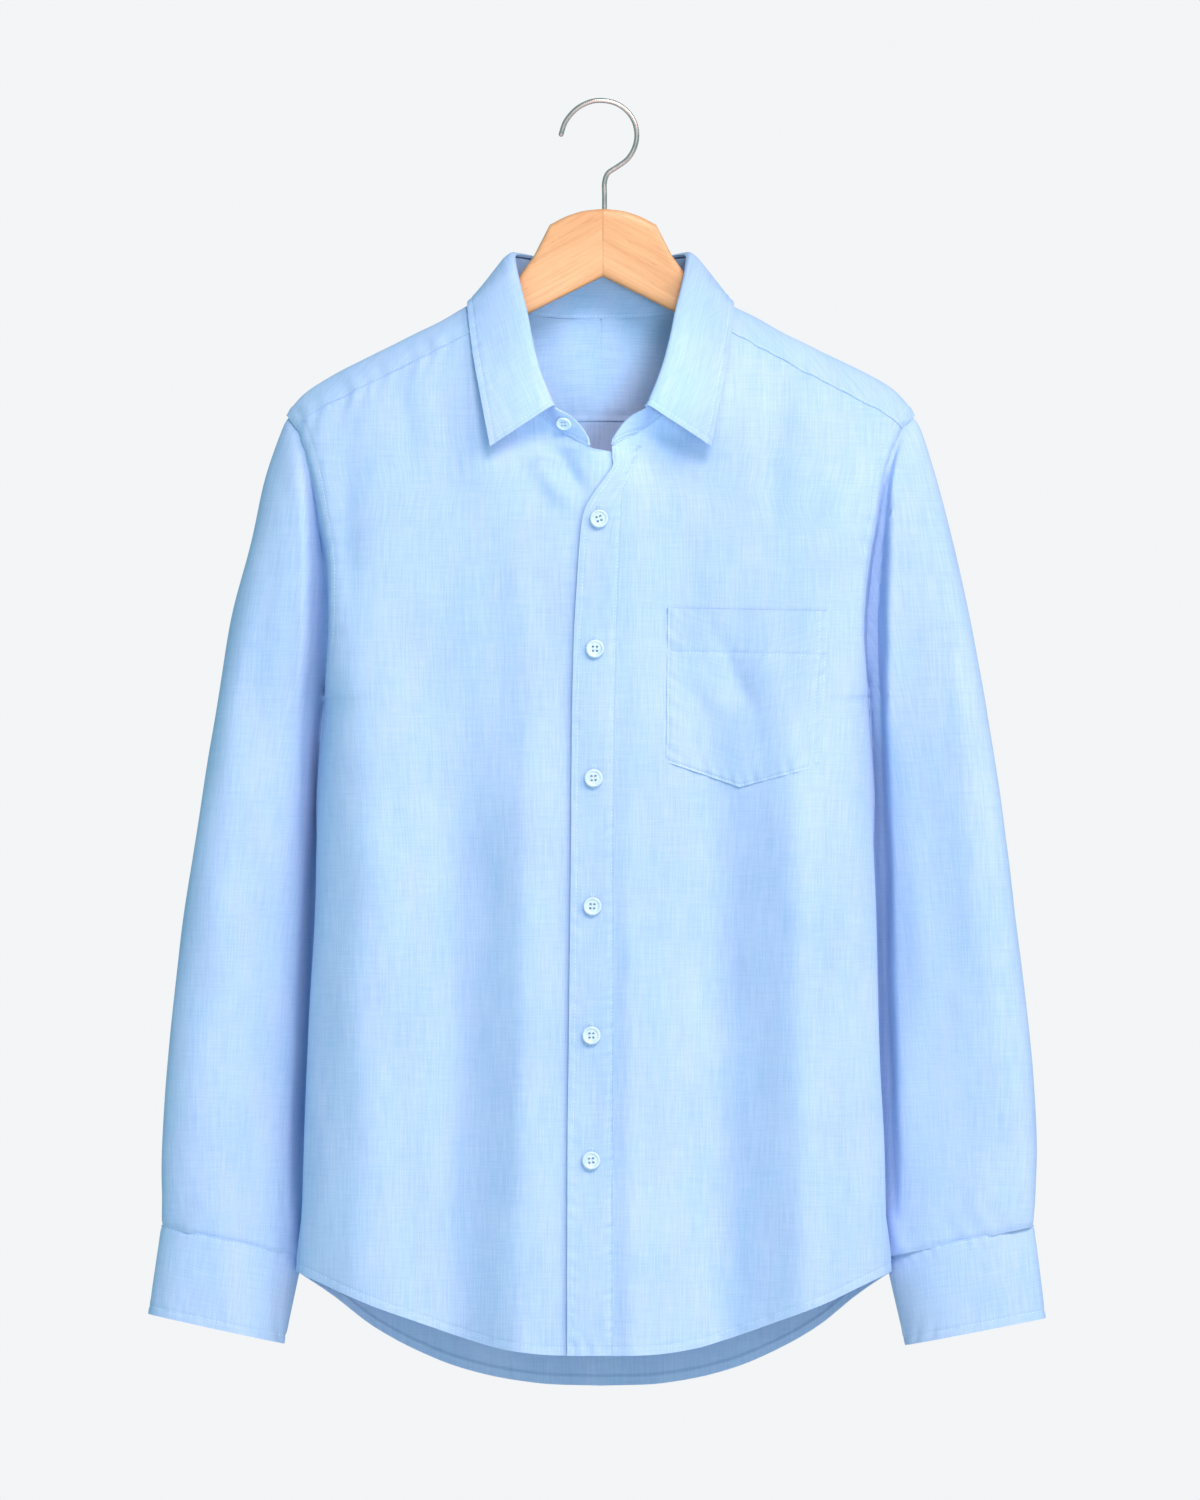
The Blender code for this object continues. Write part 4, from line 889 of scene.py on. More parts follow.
def math_node(tree, operation, a, b=0.0):
    """Work out a number from one or two others."""
    made = tree.nodes.new("ShaderNodeMath")
    made.operation = operation
    give(tree, made.inputs[0], a)
    give(tree, made.inputs[1], b)
    return made.outputs[0]


def weighted(tree, parts):
    """The sum of several numbers, each with its weight."""
    total = 0.0
    for value, weight in parts:
        total = math_node(tree, "ADD", total, math_node(tree, "MULTIPLY", value, weight))
    return total


def spread(tree, value, low, high, to_low=0.0, to_high=1.0):
    """Stretch a number from one range to another."""
    return add(
        tree, "ShaderNodeMapRange", {"interpolation_type": "SMOOTHSTEP"},
        Value=value, From_Min=low, From_Max=high, To_Min=to_low, To_Max=to_high,
    )[0]


def grain(tree, coordinates, scale, detail, place=(0, 0, 0), turn=(0, 0, 0), rough=0.5):
    """Noise stretched by a scale along each direction."""
    turned = add(tree, "ShaderNodeMapping", Vector=coordinates, Rotation=turn)["Vector"]
    moved = add(tree, "ShaderNodeMapping", Vector=turned, Scale=scale, Location=place)["Vector"]
    noise = add(tree, "ShaderNodeTexNoise", Vector=moved, Scale=1.0, Detail=detail, Roughness=rough)
    return noise["Fac"]


def object_place(tree):
    """Where a point of the piece lies."""
    return add(tree, "ShaderNodeTexCoord")["Object"]


def bump(tree, height, strength, distance):
    """A fine relief from a height."""
    made = add(tree, "ShaderNodeBump", Height=height, Strength=strength, Distance=distance)
    return made["Normal"]


def mottled(name, scale, detail, colours, crisp=True, rough=None, **inputs):
    """A material whose colour and roughness change with a soft noise."""
    material, tree, shader = new_material(name)
    noise = grain(tree, object_place(tree), scale, detail)
    share = spread(tree, noise, 0.3, 0.7) if crisp else noise
    feed(tree, shader, Base_Color=mix(tree, share, *colours), **inputs)
    if rough:
        feed(tree, shader, Roughness=spread(tree, noise, 0.3, 0.7, *rough))
    return material


# threads to a metre, as the wave texture counts them
THREADS = 480.0
CYAN_TONE, VIOLET_TONE = (0.975, 1.005, 1.0, 1.0), (1.025, 0.995, 1.0, 1.0)
LINEN_DARK, LINEN_LIGHT = (0.285, 0.475, 0.800), (0.465, 0.648, 0.930)
# noise along and across the cloth: scale, detail, roughness, share of the tone
WEAVE = (
    ((900, 38, 1), 3.0, 0.6, 0.38), ((230, 14, 1), 2.0, 0.5, 0.07),
    ((55, 950, 1), 3.0, 0.6, 0.22), ((24, 300, 1), 2.0, 0.5, 0.08),
)
# share of the tone in broad patches
PATCHES = 0.25


def linen(name, seed, tint=(1.0, 1.0, 1.0)):
    """Woven linen: long slubs along the cloth, finer ones across, and a soft uneven tone."""
    material, tree, shader = new_material(name)
    cloth = add(tree, "ShaderNodeUVMap", {"uv_map": "cloth"})["UV"]
    place = object_place(tree)
    shift = (seed * 1.7, seed * 2.3, 0.0)
    noises = [grain(tree, cloth, *row[:2], shift, rough=row[2]) for row in WEAVE]
    slubs, across = noises[0], noises[2]
    noises.append(grain(tree, place, (26, 26, 11), 3.0))
    shares = [row[-1] for row in WEAVE] + [PATCHES]
    total = weighted(tree, [(spread(tree, n, 0.25, 0.75), s) for n, s in zip(noises, shares)])
    low, high = (
        tuple(a * b for a, b in zip(colour, tint)) + (1.0,) for colour in (LINEN_DARK, LINEN_LIGHT)
    )
    tone = spread(tree, grain(tree, place, (48, 48, 20), 2.0), 0.3, 0.7)
    tones = mix(tree, tone, CYAN_TONE, VIOLET_TONE)
    colour = mix(tree, 1.0, mix(tree, total, low, high), tones, "MULTIPLY")
    warp, weft = (
        add(
            tree, "ShaderNodeTexWave", {"wave_type": "BANDS", "bands_direction": way},
            Vector=cloth, Scale=THREADS, Distortion=0.6, Detail=1.0,
        )["Fac"]
        for way in "XY"
    )
    height = weighted(tree, ((warp, 0.15), (weft, 0.15), (slubs, 0.9), (across, 0.45)))
    feed(
        tree, shader, Base_Color=colour, Normal=bump(tree, height, 0.55, 0.00025),
        Roughness=spread(tree, total, 0.2, 0.8, 0.92, 0.78), Specular_IOR_Level=0.25,
        Sheen_Weight=0.12, Sheen_Roughness=0.45, Sheen_Tint=(0.8, 0.9, 1.0, 1.0),
    )
    return material


WOOD_DARK, WOOD_LIGHT = (0.60, 0.315, 0.145, 1.0), (0.71, 0.400, 0.205, 1.0)
WOOD_LINE, WOOD_FLECK = (0.49, 0.245, 0.105, 1.0), (0.30, 0.14, 0.06, 1.0)
WOOD_GLUE = (0.54, 0.285, 0.125, 1.0)


def wood(name, slant):
    """Oiled beech: fine grain that runs down the arm, with small darker flecks."""
    material, tree, shader = new_material(name)
    place = object_place(tree)
    turn = (0.0, slant, 0.0)
    lines = grain(tree, place, (26, 700, 700), 4.0, turn=turn, rough=0.65)
    bands = grain(tree, place, (6, 90, 90), 3.0, turn=turn)
    flecks = grain(tree, place, (150, 1400, 1400), 1.0, turn=turn)
    wide = grain(tree, place, (30, 30, 30), 2.0)
    colour = mix(tree, spread(tree, bands, 0.3, 0.7), WOOD_DARK, WOOD_LIGHT)
    for noise, low, high, share, other in (
        (lines, 0.4, 0.7, 0.5, WOOD_LINE),
        (flecks, 0.62, 0.75, 0.3, WOOD_FLECK),
        (wide, 0.3, 0.7, 0.25, WOOD_LIGHT),
    ):
        amount = math_node(tree, "MULTIPLY", spread(tree, noise, low, high), share)
        colour = mix(tree, amount, colour, other)
    out = math_node(tree, "ABSOLUTE", add(tree, "ShaderNodeSeparateXYZ", Vector=place)["X"])
    feed(
        tree, shader, Base_Color=mix(tree, spread(tree, out, 0.0002, 0.0006), WOOD_GLUE, colour),
        Roughness=spread(tree, lines, 0.3, 0.7, 0.42, 0.55), Normal=bump(tree, lines, 0.25, 0.0002),
        Coat_Weight=0.12, Coat_Roughness=0.35,
    )
    return material


THREAD = mottled(
    "thread", (900, 900, 900), 2.0, ((0.42, 0.66, 0.92, 1.0), (0.58, 0.79, 0.98, 1.0)),
    rough=(0.6, 0.75),
)
BUTTON_RESIN = mottled(
    "button_resin", (260, 260, 120), 3.0, ((0.47, 0.67, 0.88, 1.0), (0.57, 0.75, 0.92, 1.0)),
    rough=(0.3, 0.42), Coat_Weight=0.2, Coat_Roughness=0.25,
)
STEEL = mottled(
    "steel_wire", (90, 90, 90), 2.0, ((0.52, 0.43, 0.42, 1.0), (0.66, 0.555, 0.545, 1.0)),
    crisp=False, rough=(0.30, 0.36), Metallic=1.0,
)
BODY_LINEN = linen("linen_body", 1.0)
SLEEVE_LINEN = linen("linen_sleeves", 2.0)
COLLAR_LINEN = linen("linen_collar", 3.0, (0.93, 0.93, 0.97))
YOKE_LINEN = linen("linen_yoke", 4.0)
STRIP_LINEN = linen("linen_placket_and_pocket", 5.0)

# The pieces of the shirt. Soft ridges (above 0) and troughs: from x, z to x, z; height, half width,
# bow
FRONT_CREASES = (
    (-179, -237, -175, -349, -2.6, 10, 2), (-139, -186, -133, -262, -1, 8, 1),
    (-112, -178, -103, -300, -1.6, 11, 2), (-78, -300, -70, -470, -1.6, 14, -3),
    (-150, -470, -146, -760, 0.9, 12, -3), (-50, -244, -20, -283, 4.2, 7, 1.5),
    (-31, -242, -11, -274, -3.4, 5.5, 1), (122, -190, 124, -300, -2.6, 10, 1.5),
    (106, -188, 109, -300, 1.4, 9, 1.5), (167, -208, 163, -268, -1.6, 9, -1),
    (139, -200, 142, -240, 1.2, 8, 0), (150, -206, 152, -246, -1, 6, 0),
    (103, -176, 106, -220, -0.9, 6, 0), (60, -300, 66, -350, -0.8, 9, 0),
    (80, -366, 108, -428, -2.2, 7.5, 2), (60, -392, 90, -430, 0.8, 8, 0),
    (118, -372, 122, -460, 1.2, 10, 2), (30, -330, 33, -560, 0.9, 9, 1),
    (176, -470, 184, -760, -1.4, 12, 0),
)
BACK_CREASES = (
    (-150, -260, -140, -420, -2, 12, 3), (-60, -235, -66, -330, -1.2, 9, 1),
    (0, -230, 4, -300, -1, 8, 0), (72, -236, 78, -350, -1.4, 10, -2),
    (150, -262, 144, -410, -1.8, 12, -3), (-130, -520, -120, -860, 1.6, 16, 4),
    (10, -480, -6, -870, -1.6, 17, 3), (90, -540, 84, -870, 1.8, 16, -3),
    (168, -450, 176, -780, -1.4, 14, 2),
)
SLEEVE_CREASES = {
    RIGHT: (
        (-226, -300, -258, -560, -1.6, 10, 4), (-250, -380, -282, -700, 1.4, 12, -4),
        (-236, -560, -256, -790, -1.8, 9, 2), (-214, -450, -228, -640, 1.5, 9, 2),
    ),
    LEFT: (
        (222, -280, 250, -520, -1.6, 10, -4), (246, -360, 276, -680, 1.4, 12, 4),
        (236, -560, 256, -790, -0.9, 10, -2), (212, -450, 226, -640, 0.8, 9, -2),
    ),
}
POCKET_CREASES = (
    (72, -356, 78, -376, -0.3, 5, 0), (60, -392, 90, -430, 0.5, 8, 0),
    (118, -372, 122, -460, 0.4, 10, 2),
)
# how a place counts along the seams of the yoke and along the armholes, for puckers that run on
ALONG_YOKE, ALONG_ARMHOLE = (1.12, 0.0, 0.0), (0.0, 0.6, 1.0)
# Seams: distance of the stitches from the edge, thickness of the folded layer inside, depth of
# the groove, height, reach, pitch and seed of the puckers, and the way that they are counted along
ARMHOLE_STITCH = 8.4
ARMHOLE_SEAM = (ARMHOLE_STITCH, 0.0, 0.4, 0.4, 11.0, 12.0, 41, ALONG_ARMHOLE)
FRONT_YOKE_SEAM = (0.0, 0.0, 0.4, 0.55, 16.0, 17.0, 31, ALONG_YOKE)
BACK_YOKE_SEAM = (0.0, 0.0, 0.35, 0.4, 14.0, 14.0, 52, ALONG_YOKE)
FRONT_HEM = (5.6, 0.7, 0.35, 0.4, 7.0, 9.0)
BACK_HEM = (6.5, 0.7, 0.2, 0.3, 8.0, 9.0)
# where the armholes' stitches end, and over what height their puckers fade in
ARMHOLE_FOOT_Z, ARMHOLE_FADE = -404.0, 14.0
# the sides of the body go in behind the edge that shows: how far, from where beside it; between
# which depths and which heights, each with the lengths of its fades
SIDE_TUCK, SIDE_TUCK_OUT, SIDE_TUCK_FADE = 3.5, 16.0, 9.0
SIDE_TUCK_DEPTHS = (-15.0, 52.0, 14.0, 14.0)
SIDE_TUCK_HEIGHTS = (-815.0, -480.0, 50.0, 70.0)
# where the fronts are softened below the armholes: rounds, distances from the side with their
# fades, height, half height
SOFT_ROUNDS, SOFT_AWAY, SOFT_Z, SOFT_HALF = 40, (0.0, 60.0, 4.0, 25.0), -415.0, 32.0
# over what height above the underarm the cloth turns square to the side seams
SIDE_SEAM_FADE = 12.0


def tuck_sides(sheet):
    """Draw the sides of the body in behind their front edge, where the sleeves hang behind it."""
    x, y, z = (sheet.points[..., k] for k in range(3))
    heights = np.linspace(BACK_HEM_Z, SHOULDER_Z, 120)
    wide = [np.interp(z, heights, [half_width(side, h) for h in heights]) for side in (RIGHT, LEFT)]
    near = ease((np.abs(x) - np.where(x < 0, *wide) + SIDE_TUCK_OUT) / SIDE_TUCK_FADE)
    fade = near * within(y, *SIDE_TUCK_DEPTHS) * within(z, *SIDE_TUCK_HEIGHTS)
    sheet.move(0, x - np.sign(x) * SIDE_TUCK * fade)


def soften_underarm(sheet):
    """Let the front turn softly from its side into the armhole."""
    y, z = sheet.points[..., 1], sheet.points[..., 2]
    soft = y.copy()
    for _ in range(SOFT_ROUNDS):
        soft[1:-1] = (soft[:-2] + 2 * soft[1:-1] + soft[2:]) / 4
    near = within(sheet.away["end"], *SOFT_AWAY) * np.exp(-(((z - SOFT_Z) / SOFT_HALF) ** 2))
    sheet.move(1, y + (soft - y) * near)


def keep_under_placket(sheet):
    """Keep the left front's edge from showing past the placket's curve."""
    heights = np.linspace(PLACKET_TOP_Z, PLACKET_FOOT_Z, 300)[::-1]
    edge = np.array([closing_edge(LEFT, z) for z in heights])
    sheet.move(0, np.maximum(sheet.points[..., 0], np.interp(sheet.points[..., 2], heights, edge)))


def square_to(sheet, column, chosen, lose):
    """Turn the cloth square to a seam that it is sewn to in line, by a share for each row."""
    way = sheet.normals[:, column] * (1 - chosen[:, None] * np.array(lose))
    sheet.normals[:, column] = way / np.linalg.norm(way, axis=1, keepdims=True)


def level_end(sheet, column=-1):
    """Turn a front square to its side seam, where the back meets it."""
    under = SHOULDER_Z - UNDERARM_DROP + SIDE_SEAM_FADE - sheet.points[:, column, 2]
    square_to(sheet, column, ease(under / SIDE_SEAM_FADE), (0.0, 1.0, 0.0))


def level_sides(sheet):
    """Turn the back square to both side seams."""
    level_end(sheet)
    level_end(sheet, 0)


def level_middle(sheet):
    """Turn half of the yoke square to the middle of the back, where its other half goes on."""
    square_to(sheet, 0, (np.abs(sheet.points[:, 0, 0]) < 0.01) * 1.0, (1.0, 0.0, 0.0))


def hang_yarns(sheet):
    """Lay the yarns straight down: they count along each row as it is seen from above."""
    steps = np.linalg.norm(np.diff(sheet.points[..., :2], axis=1), axis=2)
    steps *= np.sign(sheet.points[:, -1:, 0] - sheet.points[:, :1, 0])
    start = sheet.points[:, :1, 0]
    across = np.concatenate((start, start + np.cumsum(steps, axis=1)), axis=1)
    sheet.uv = np.stack((across, sheet.points[..., 2]), -1)


def finish_body(name, sheet, table, seams, armholes):
    """Finish a front or the back: its creases, hem, puckered seams and topstitching."""
    tuck_sides(sheet)
    hang_yarns(sheet)
    more = creases(table, sheet)
    above = ease((sheet.points[..., 2] - ARMHOLE_FOOT_Z) / ARMHOLE_FADE)
    for edge in armholes:
        more += sewn_edge(sheet, edge, *ARMHOLE_SEAM) * above
    lines = [seams[0][:2]]
    lines += [(edge, ARMHOLE_STITCH, 0.0, 1.0, 1, ARMHOLE_FOOT_Z) for edge in armholes]
    return finish(name, sheet, BODY_LINEN, seams, lines, more=more)


def build_front(side, name):
    """One front, softened below the armhole."""
    sheet = Sheet(front_grid(side), middle_line, fix=level_end)
    if side == LEFT:
        keep_under_placket(sheet)
    soften_underarm(sheet)
    seams = (("first", *FRONT_HEM, 21 + side), ("last", *FRONT_YOKE_SEAM))
    return finish_body(name, sheet, FRONT_CREASES, seams, ("end",))


def build_back():
    """The back, with its curved hem."""
    sheet = Sheet(back_grid(), middle_line, cell=3.4, fix=level_sides)
    seams = (("first", *BACK_HEM, 51), ("last", *BACK_YOKE_SEAM))
    finish_body("back", sheet, BACK_CREASES, seams, ("start", "end"))


# The yoke: how far it goes over its neighbours, its rows of stitches, their dip, and the step of
# its edges; then the folded layer inside its back edge: thickness, width
YOKE_OVER, YOKE_STITCH, YOKE_DIP, SEAM_STEP, SEAM_STEP_HALF = 0.8, 2.0, 0.25, 0.5, 3.0
YOKE_FOLD, YOKE_FOLD_WIDTH = 1.5, 1.2
# the inner points of a row of both halves become one where they lie nearer than this
MEETING = 0.5


def join_middle(right, left):
    """Give both halves of the yoke the same points where they meet in the middle of the back."""
    met = np.abs(right.points[:, 0, 0]) + np.abs(left.points[:, 0, 0]) < MEETING
    for name in ("points", "normals"):
        a, b = getattr(right, name), getattr(left, name)
        shared = (a[:, 0] + b[:, 0]) / 2 * (0.0, 1.0, 1.0)
        a[met, 0] = b[met, 0] = shared[met]
    right.normals[met, 0] /= np.linalg.norm(right.normals[met, 0], axis=1, keepdims=True)
    left.normals[met, 0] = right.normals[met, 0]
    left.extra_inside[met, 0] = right.extra_inside[met, 0]


def build_yoke():
    """The yoke, in two halves that meet in the middle of the back."""
    halves, lines = [], []
    for side in (RIGHT, LEFT):
        rows = inset([yoke_row(side, i) for i in range(YOKE_ROWS)], -YOKE_OVER, -YOKE_OVER)
        sheet = Sheet(rows, under_yoke, cell=YOKE_CELL[side], fix=level_middle)
        sheet.points[..., 0] = side * np.maximum(side * sheet.points[..., 0], 0.0)
        sheet.uv = np.stack((sheet.away["first"], side * sheet.away["start"]), -1)
        height = unevenness(sheet, UNEVEN) + sewn_edge(sheet, "end", *ARMHOLE_SEAM)
        for edge, seam in (("first", BACK_YOKE_SEAM), ("last", FRONT_YOKE_SEAM)):
            height += sewn_edge(sheet, edge, *seam[:2], 0.0, *seam[3:])
            height -= YOKE_DIP * ridge(sheet, edge, YOKE_STITCH, GROOVE)
            height += SEAM_STEP * ridge(sheet, edge, 0.0, SEAM_STEP_HALF)
        sheet.extra_inside += YOKE_FOLD * (1 - ease(sheet.away["first"] - YOKE_FOLD_WIDTH))
        sheet.lift(height)
        halves.append(sheet)
        for edge, away in (("first", YOKE_STITCH), ("last", YOKE_STITCH), ("end", ARMHOLE_STITCH)):
            lines.append(sheet.path(edge, away, CLOTH))
    join_middle(*halves)
    shell("yoke", halves, CLOTH, YOKE_LINEN)
    stitches("yoke_stitches", lines)


# height; width and depth of the hollow beside the body on the right; the same on the left
HOLLOWS = (
    (-235, 8, 0, 5, 0), (-262, 12, 5, 6, 6), (-290, 15, 13, 10, 14), (-330, 19, 22, 17, 24),
    (-375, 21, 26, 19, 28), (-405, 20, 24, 16, 25), (-440, 17, 20, 13, 20), (-500, 13, 18, 12, 18),
    (-600, 11, 18, 11, 18), (-700, 10, 15, 10, 15), (-750, 9, 9, 9, 9), (-785, 8, 0, 8, 0),
)
HOLLOW_START = {RIGHT: 0.0, LEFT: 0.55}
# how far down a sleeve falls in, and the length over which that begins at the armhole
HOLLOW_FOOT_Z, HOLLOW_FADE = -790.0, 5.0
# how far its ends tuck in under the armhole and the cuff, and over what length
ARMHOLE_TUCK, ARMHOLE_TUCK_HALF, CUFF_TUCK, CUFF_TUCK_HALF = 0.9, 4.0, 1.0, 3.0
# how far a sleeve goes on into the cuff
INTO_CUFF = 1.6
# the oval that the yarns are counted round: how far back, half depth, height below which its
# inner edge follows the body's, how far inside that, and how fast it goes in above that height
OVAL_BACK, SLEEVE_DEPTH, OVAL_TOP_Z, OVAL_IN, OVAL_RISE = 10.0, 36.0, -430.0, 4.0, 0.02
# its lowest height, how far below the shoulder its highest lies, steps round it
OVAL_FOOT_Z, OVAL_BELOW_SHOULDER, ARC_STEPS = -820.0, 4.0, 24


def body_edge(side, z):
    """Where the body ends beside the sleeve: the armhole, and the side seam below it."""
    drop = SHOULDER_Z - z
    if drop >= UNDERARM_DROP:
        return half_width(side, z)
    return SHOULDER_X - read(ARMHOLE, max(drop, 0.0), COLUMN[side])


def fall_in(sheet, side):
    """Push the front of a sleeve back beside the body, where it falls in behind the body's edge."""
    heights = np.linspace(HOLLOW_FOOT_Z, SHOULDER_Z, 180)
    z, column = sheet.points[..., 2], 2 * COLUMN[side]
    edge, width, depth = (
        np.interp(z, heights, [found(h) for h in heights])
        for found in (
            lambda h: body_edge(side, h),
            lambda h: read(HOLLOWS, h, column - 1),
            lambda h: read(HOLLOWS, h, column),
        )
    )
    start = HOLLOW_START[side]
    out = (side * sheet.points[..., 0] - edge) / width
    push = depth * (1 - ease((out - start) / (1 - start)))
    push *= ease(-sheet.normals[..., 1] * 2.0) * ease(sheet.away["first"] / HOLLOW_FADE)
    sheet.move(1, sheet.points[..., 1] + push * (z > HOLLOW_FOOT_Z))


def round_sleeve(side, points):
    """How far round the sleeve each point lies, from the middle of its front at the same height."""
    heights = np.linspace(OVAL_FOOT_Z, SHOULDER_Z - OVAL_BELOW_SHOULDER, 120)
    outer = np.array([read(SLEEVE_EDGE, z, COLUMN[side]) for z in heights])
    inner = np.array([half_width(side, min(z, OVAL_TOP_Z)) for z in heights]) - OVAL_IN
    inner = np.where(heights > OVAL_TOP_Z, inner - OVAL_RISE * (heights - OVAL_TOP_Z), inner)
    middle = np.interp(points[..., 2], heights, (outer + inner) / 2)
    half = np.interp(points[..., 2], heights, (outer - inner) / 2)
    out, back = (side * points[..., 0] - middle) / half, (points[..., 1] - OVAL_BACK) / SLEEVE_DEPTH
    angle = np.unwrap(np.arctan2(out, -back), axis=1)
    total = np.zeros_like(angle)
    for k in range(ARC_STEPS):
        at = angle * (k + 0.5) / ARC_STEPS
        total += np.hypot(half * np.cos(at), SLEEVE_DEPTH * np.sin(at)) * angle / ARC_STEPS
    return total


def build_sleeve(side, name):
    """A sleeve: its long folds, the small pleats above the cuff and its puckered seams."""
    sheet = Sheet(inset(sleeve_grid(side), 0.0, -INTO_CUFF), ring_middle, closed=True)
    fall_in(sheet, side)
    sheet.uv = np.stack((round_sleeve(side, sheet.points), sheet.points[..., 2]), -1)
    more = creases(SLEEVE_CREASES[side], sheet) * ease(0.5 - sheet.normals[..., 1])
    more -= ARMHOLE_TUCK * ridge(sheet, "first", 0.0, ARMHOLE_TUCK_HALF)
    more -= CUFF_TUCK * ridge(sheet, "last", 0.0, CUFF_TUCK_HALF)
    seams = (
        ("first", -ARMHOLE_STITCH, 0.0, 0.0, *ARMHOLE_SEAM[3:]),
        ("last", 0.0, 0.0, 0.3, 0.6, 26.0, 17.0, 61 + side),
    )
    finish(name, sheet, SLEEVE_LINEN, seams, more=more)


def build_cuff(side, name):
    """A cuff, with topstitching inside all of its edges."""
    sheet = Sheet(cuff_grid(side), cuff_middle, cell=2.0)
    sheet.uv = np.stack((sheet.away["first"], sheet.away["start"]), -1)
    seams = (
        ("start", 2.0, 0.0, 0.35, 0.3, 8.0, 9.0, 71),
        ("end", 5.6, 0.0, 0.4, 0.35, 8.0, 9.0, 72),
    )
    lines = (seams[0][:2], seams[1][:2], ("last", 3.0, 0.05, 0.95))
    return finish(name, sheet, SLEEVE_LINEN, seams, lines, TWO_LAYERS, 0.3)


def build_collar():
    """The collar stand and its leaf."""
    stand = Sheet(stand_grid(), middle_line, cell=1.6)
    seams = (("start", 1.5, 0.0, 0.25, 0.25, 6.0, 9.0, 81),)
    lines = (("start", 1.8), ("start", 1.8, 0.0, 1.0, -1))
    finish("collar_stand", stand, COLLAR_LINEN, seams, lines, TWO_LAYERS, 0.2)
    leaf = Sheet(leaf_grid(), middle_line, cell=1.6)
    shares = {"end": (0.02, 0.98), "first": (0.12, 0.94), "last": (0.12, 0.94)}
    seams = [(edge, 3.9, 0.0, 0.4, 0.3, 5.0, 9.0, 82) for edge in shares]
    lines = [(edge, 3.9, *ends) for edge, ends in shares.items()]
    finish("collar", leaf, COLLAR_LINEN, seams, lines, TWO_LAYERS, 0.25)
    return stand


def strip_on(tree, spots, step):
    """A grid laid on the left front: a step outside its outer face at each x, z and share."""
    rows = []
    for row in spots:
        found = [(*seen_from_front(tree, x, z), step(share)) for x, z, share in row]
        rows.append([place + way * out for place, way, out in found])
    return rows


PLACKET_ROWS, PLACKET_COLUMNS = 150, 12
# height of the strip's middle above the front's outer face at its left edge and at its stitched
# edge, and the share of the width where it starts to go down
PLACKET_OUT, PLACKET_FALL = (1.1, 0.35), 0.75
POCKET_FINE = 40
POCKET_HEM = 31.0
# height of the pocket's middle above the front: at its foot, more at its top, how late it rises
POCKET_OUT, POCKET_GAPE, POCKET_GAPE_POWER = 0.7, 0.5, 4


def build_placket(tree):
    """The strip with the buttonholes on the edge of the left front."""
    spots = []
    for i in range(PLACKET_ROWS + 1):
        z = PLACKET_FOOT_Z + (PLACKET_TOP_Z - PLACKET_FOOT_Z) * i / PLACKET_ROWS
        left, right = read(PLACKET, z, 1), read(PLACKET, z, 2)
        shares = [j / PLACKET_COLUMNS for j in range(PLACKET_COLUMNS + 1)]
        spots.append([(left + (right - left) * s, z, s) for s in shares])
    high, low = PLACKET_OUT
    fall = 1 - PLACKET_FALL
    rows = strip_on(tree, spots, lambda s: high + (low - high) * ease((s - PLACKET_FALL) / fall))
    seams = (
        ("start", 4.0, 0.0, 0.14, 0.2, 4.0, 11.0, 91),
        ("end", 1.6, 0.0, 0.55, 0.4, 5.0, 9.0, 92),
        ("first", 5.6, 0.0, 0.2, 0.1, 5.0, 9.0, 93),
    )
    lines = (("start", 4.0, 0.0, 0.97), ("end", 1.6, 0.0, 0.97), ("first", 5.6))
    sheet = Sheet(rows, middle_line, cell=1.6, edge_cell=0.9)
    return finish("placket", sheet, STRIP_LINEN, seams, lines, dents=0.0)


def build_pocket(tree):
    """The chest pocket, with its deep hem and double edge stitching."""
    start, tip, end = POCKET_FOOT
    shares = [i / POCKET_FINE for i in range(POCKET_FINE + 1)]
    feet = [
        part_way(start, tip, s * 2) if s <= 0.5 else part_way(tip, end, s * 2 - 1) for s in shares
    ]
    tops = [part_way(*POCKET_TOP, s) for s in shares]
    spots = [[(*part_way(foot, top, s), s) for foot, top in zip(feet, tops)] for s in shares]
    rows = strip_on(tree, spots, lambda s: POCKET_OUT + POCKET_GAPE * s**POCKET_GAPE_POWER)
    sheet = Sheet(rows, middle_line, cell=1.3, edge_cell=0.8)
    edges = (("start", 94), ("end", 95), ("first", 96))
    seams = [(edge, 1.4, 0.0, 0.6, 0.3, 9.0, 11.0, seed) for edge, seed in edges] + [
        ("end", 7.0, 0.0, 0.5, 0.25, 6.0, 10.0, 98),
        ("last", POCKET_HEM, 0.0, 0.65, 0.4, 7.0, 10.0, 97),
    ]
    lines = (("start", 1.4), ("end", 1.4), ("end", 7.0, 0.06, 1.0), ("first", 1.4))
    lines += (("last", POCKET_HEM),)
    finish("pocket", sheet, STRIP_LINEN, seams, lines, more=creases(POCKET_CREASES, sheet))


# Buttons, hanger and hook


def ring_faces(rings, sides):
    """The faces of a closed form from rings of points."""
    faces = []
    for a in range(0, (rings - 1) * sides, sides):
        for k in range(sides):
            m = (k + 1) % sides
            faces.append((a + k, a + m, a + sides + m, a + sides + k))
    last = (rings - 1) * sides
    return faces + [tuple(range(sides))[::-1], tuple(range(last, last + sides))]


def closed_mesh(name, points, faces):
    """A closed mesh from points in metres."""
    mesh = bpy.data.meshes.new(name)
    mesh.from_pydata(points, [], faces)
    outward(mesh)
    return mesh


def lathe(profile, sides, middle=Vector((0.0, 0.0, 0.0))):
    """Points and faces of a closed turned form."""
    angles = [2 * math.pi * k / sides for k in range(sides)]
    points = [Vector((r * math.cos(a), r * math.sin(a), h)) for r, h in profile for a in angles]
    return [p + middle for p in points], ring_faces(len(profile), sides)


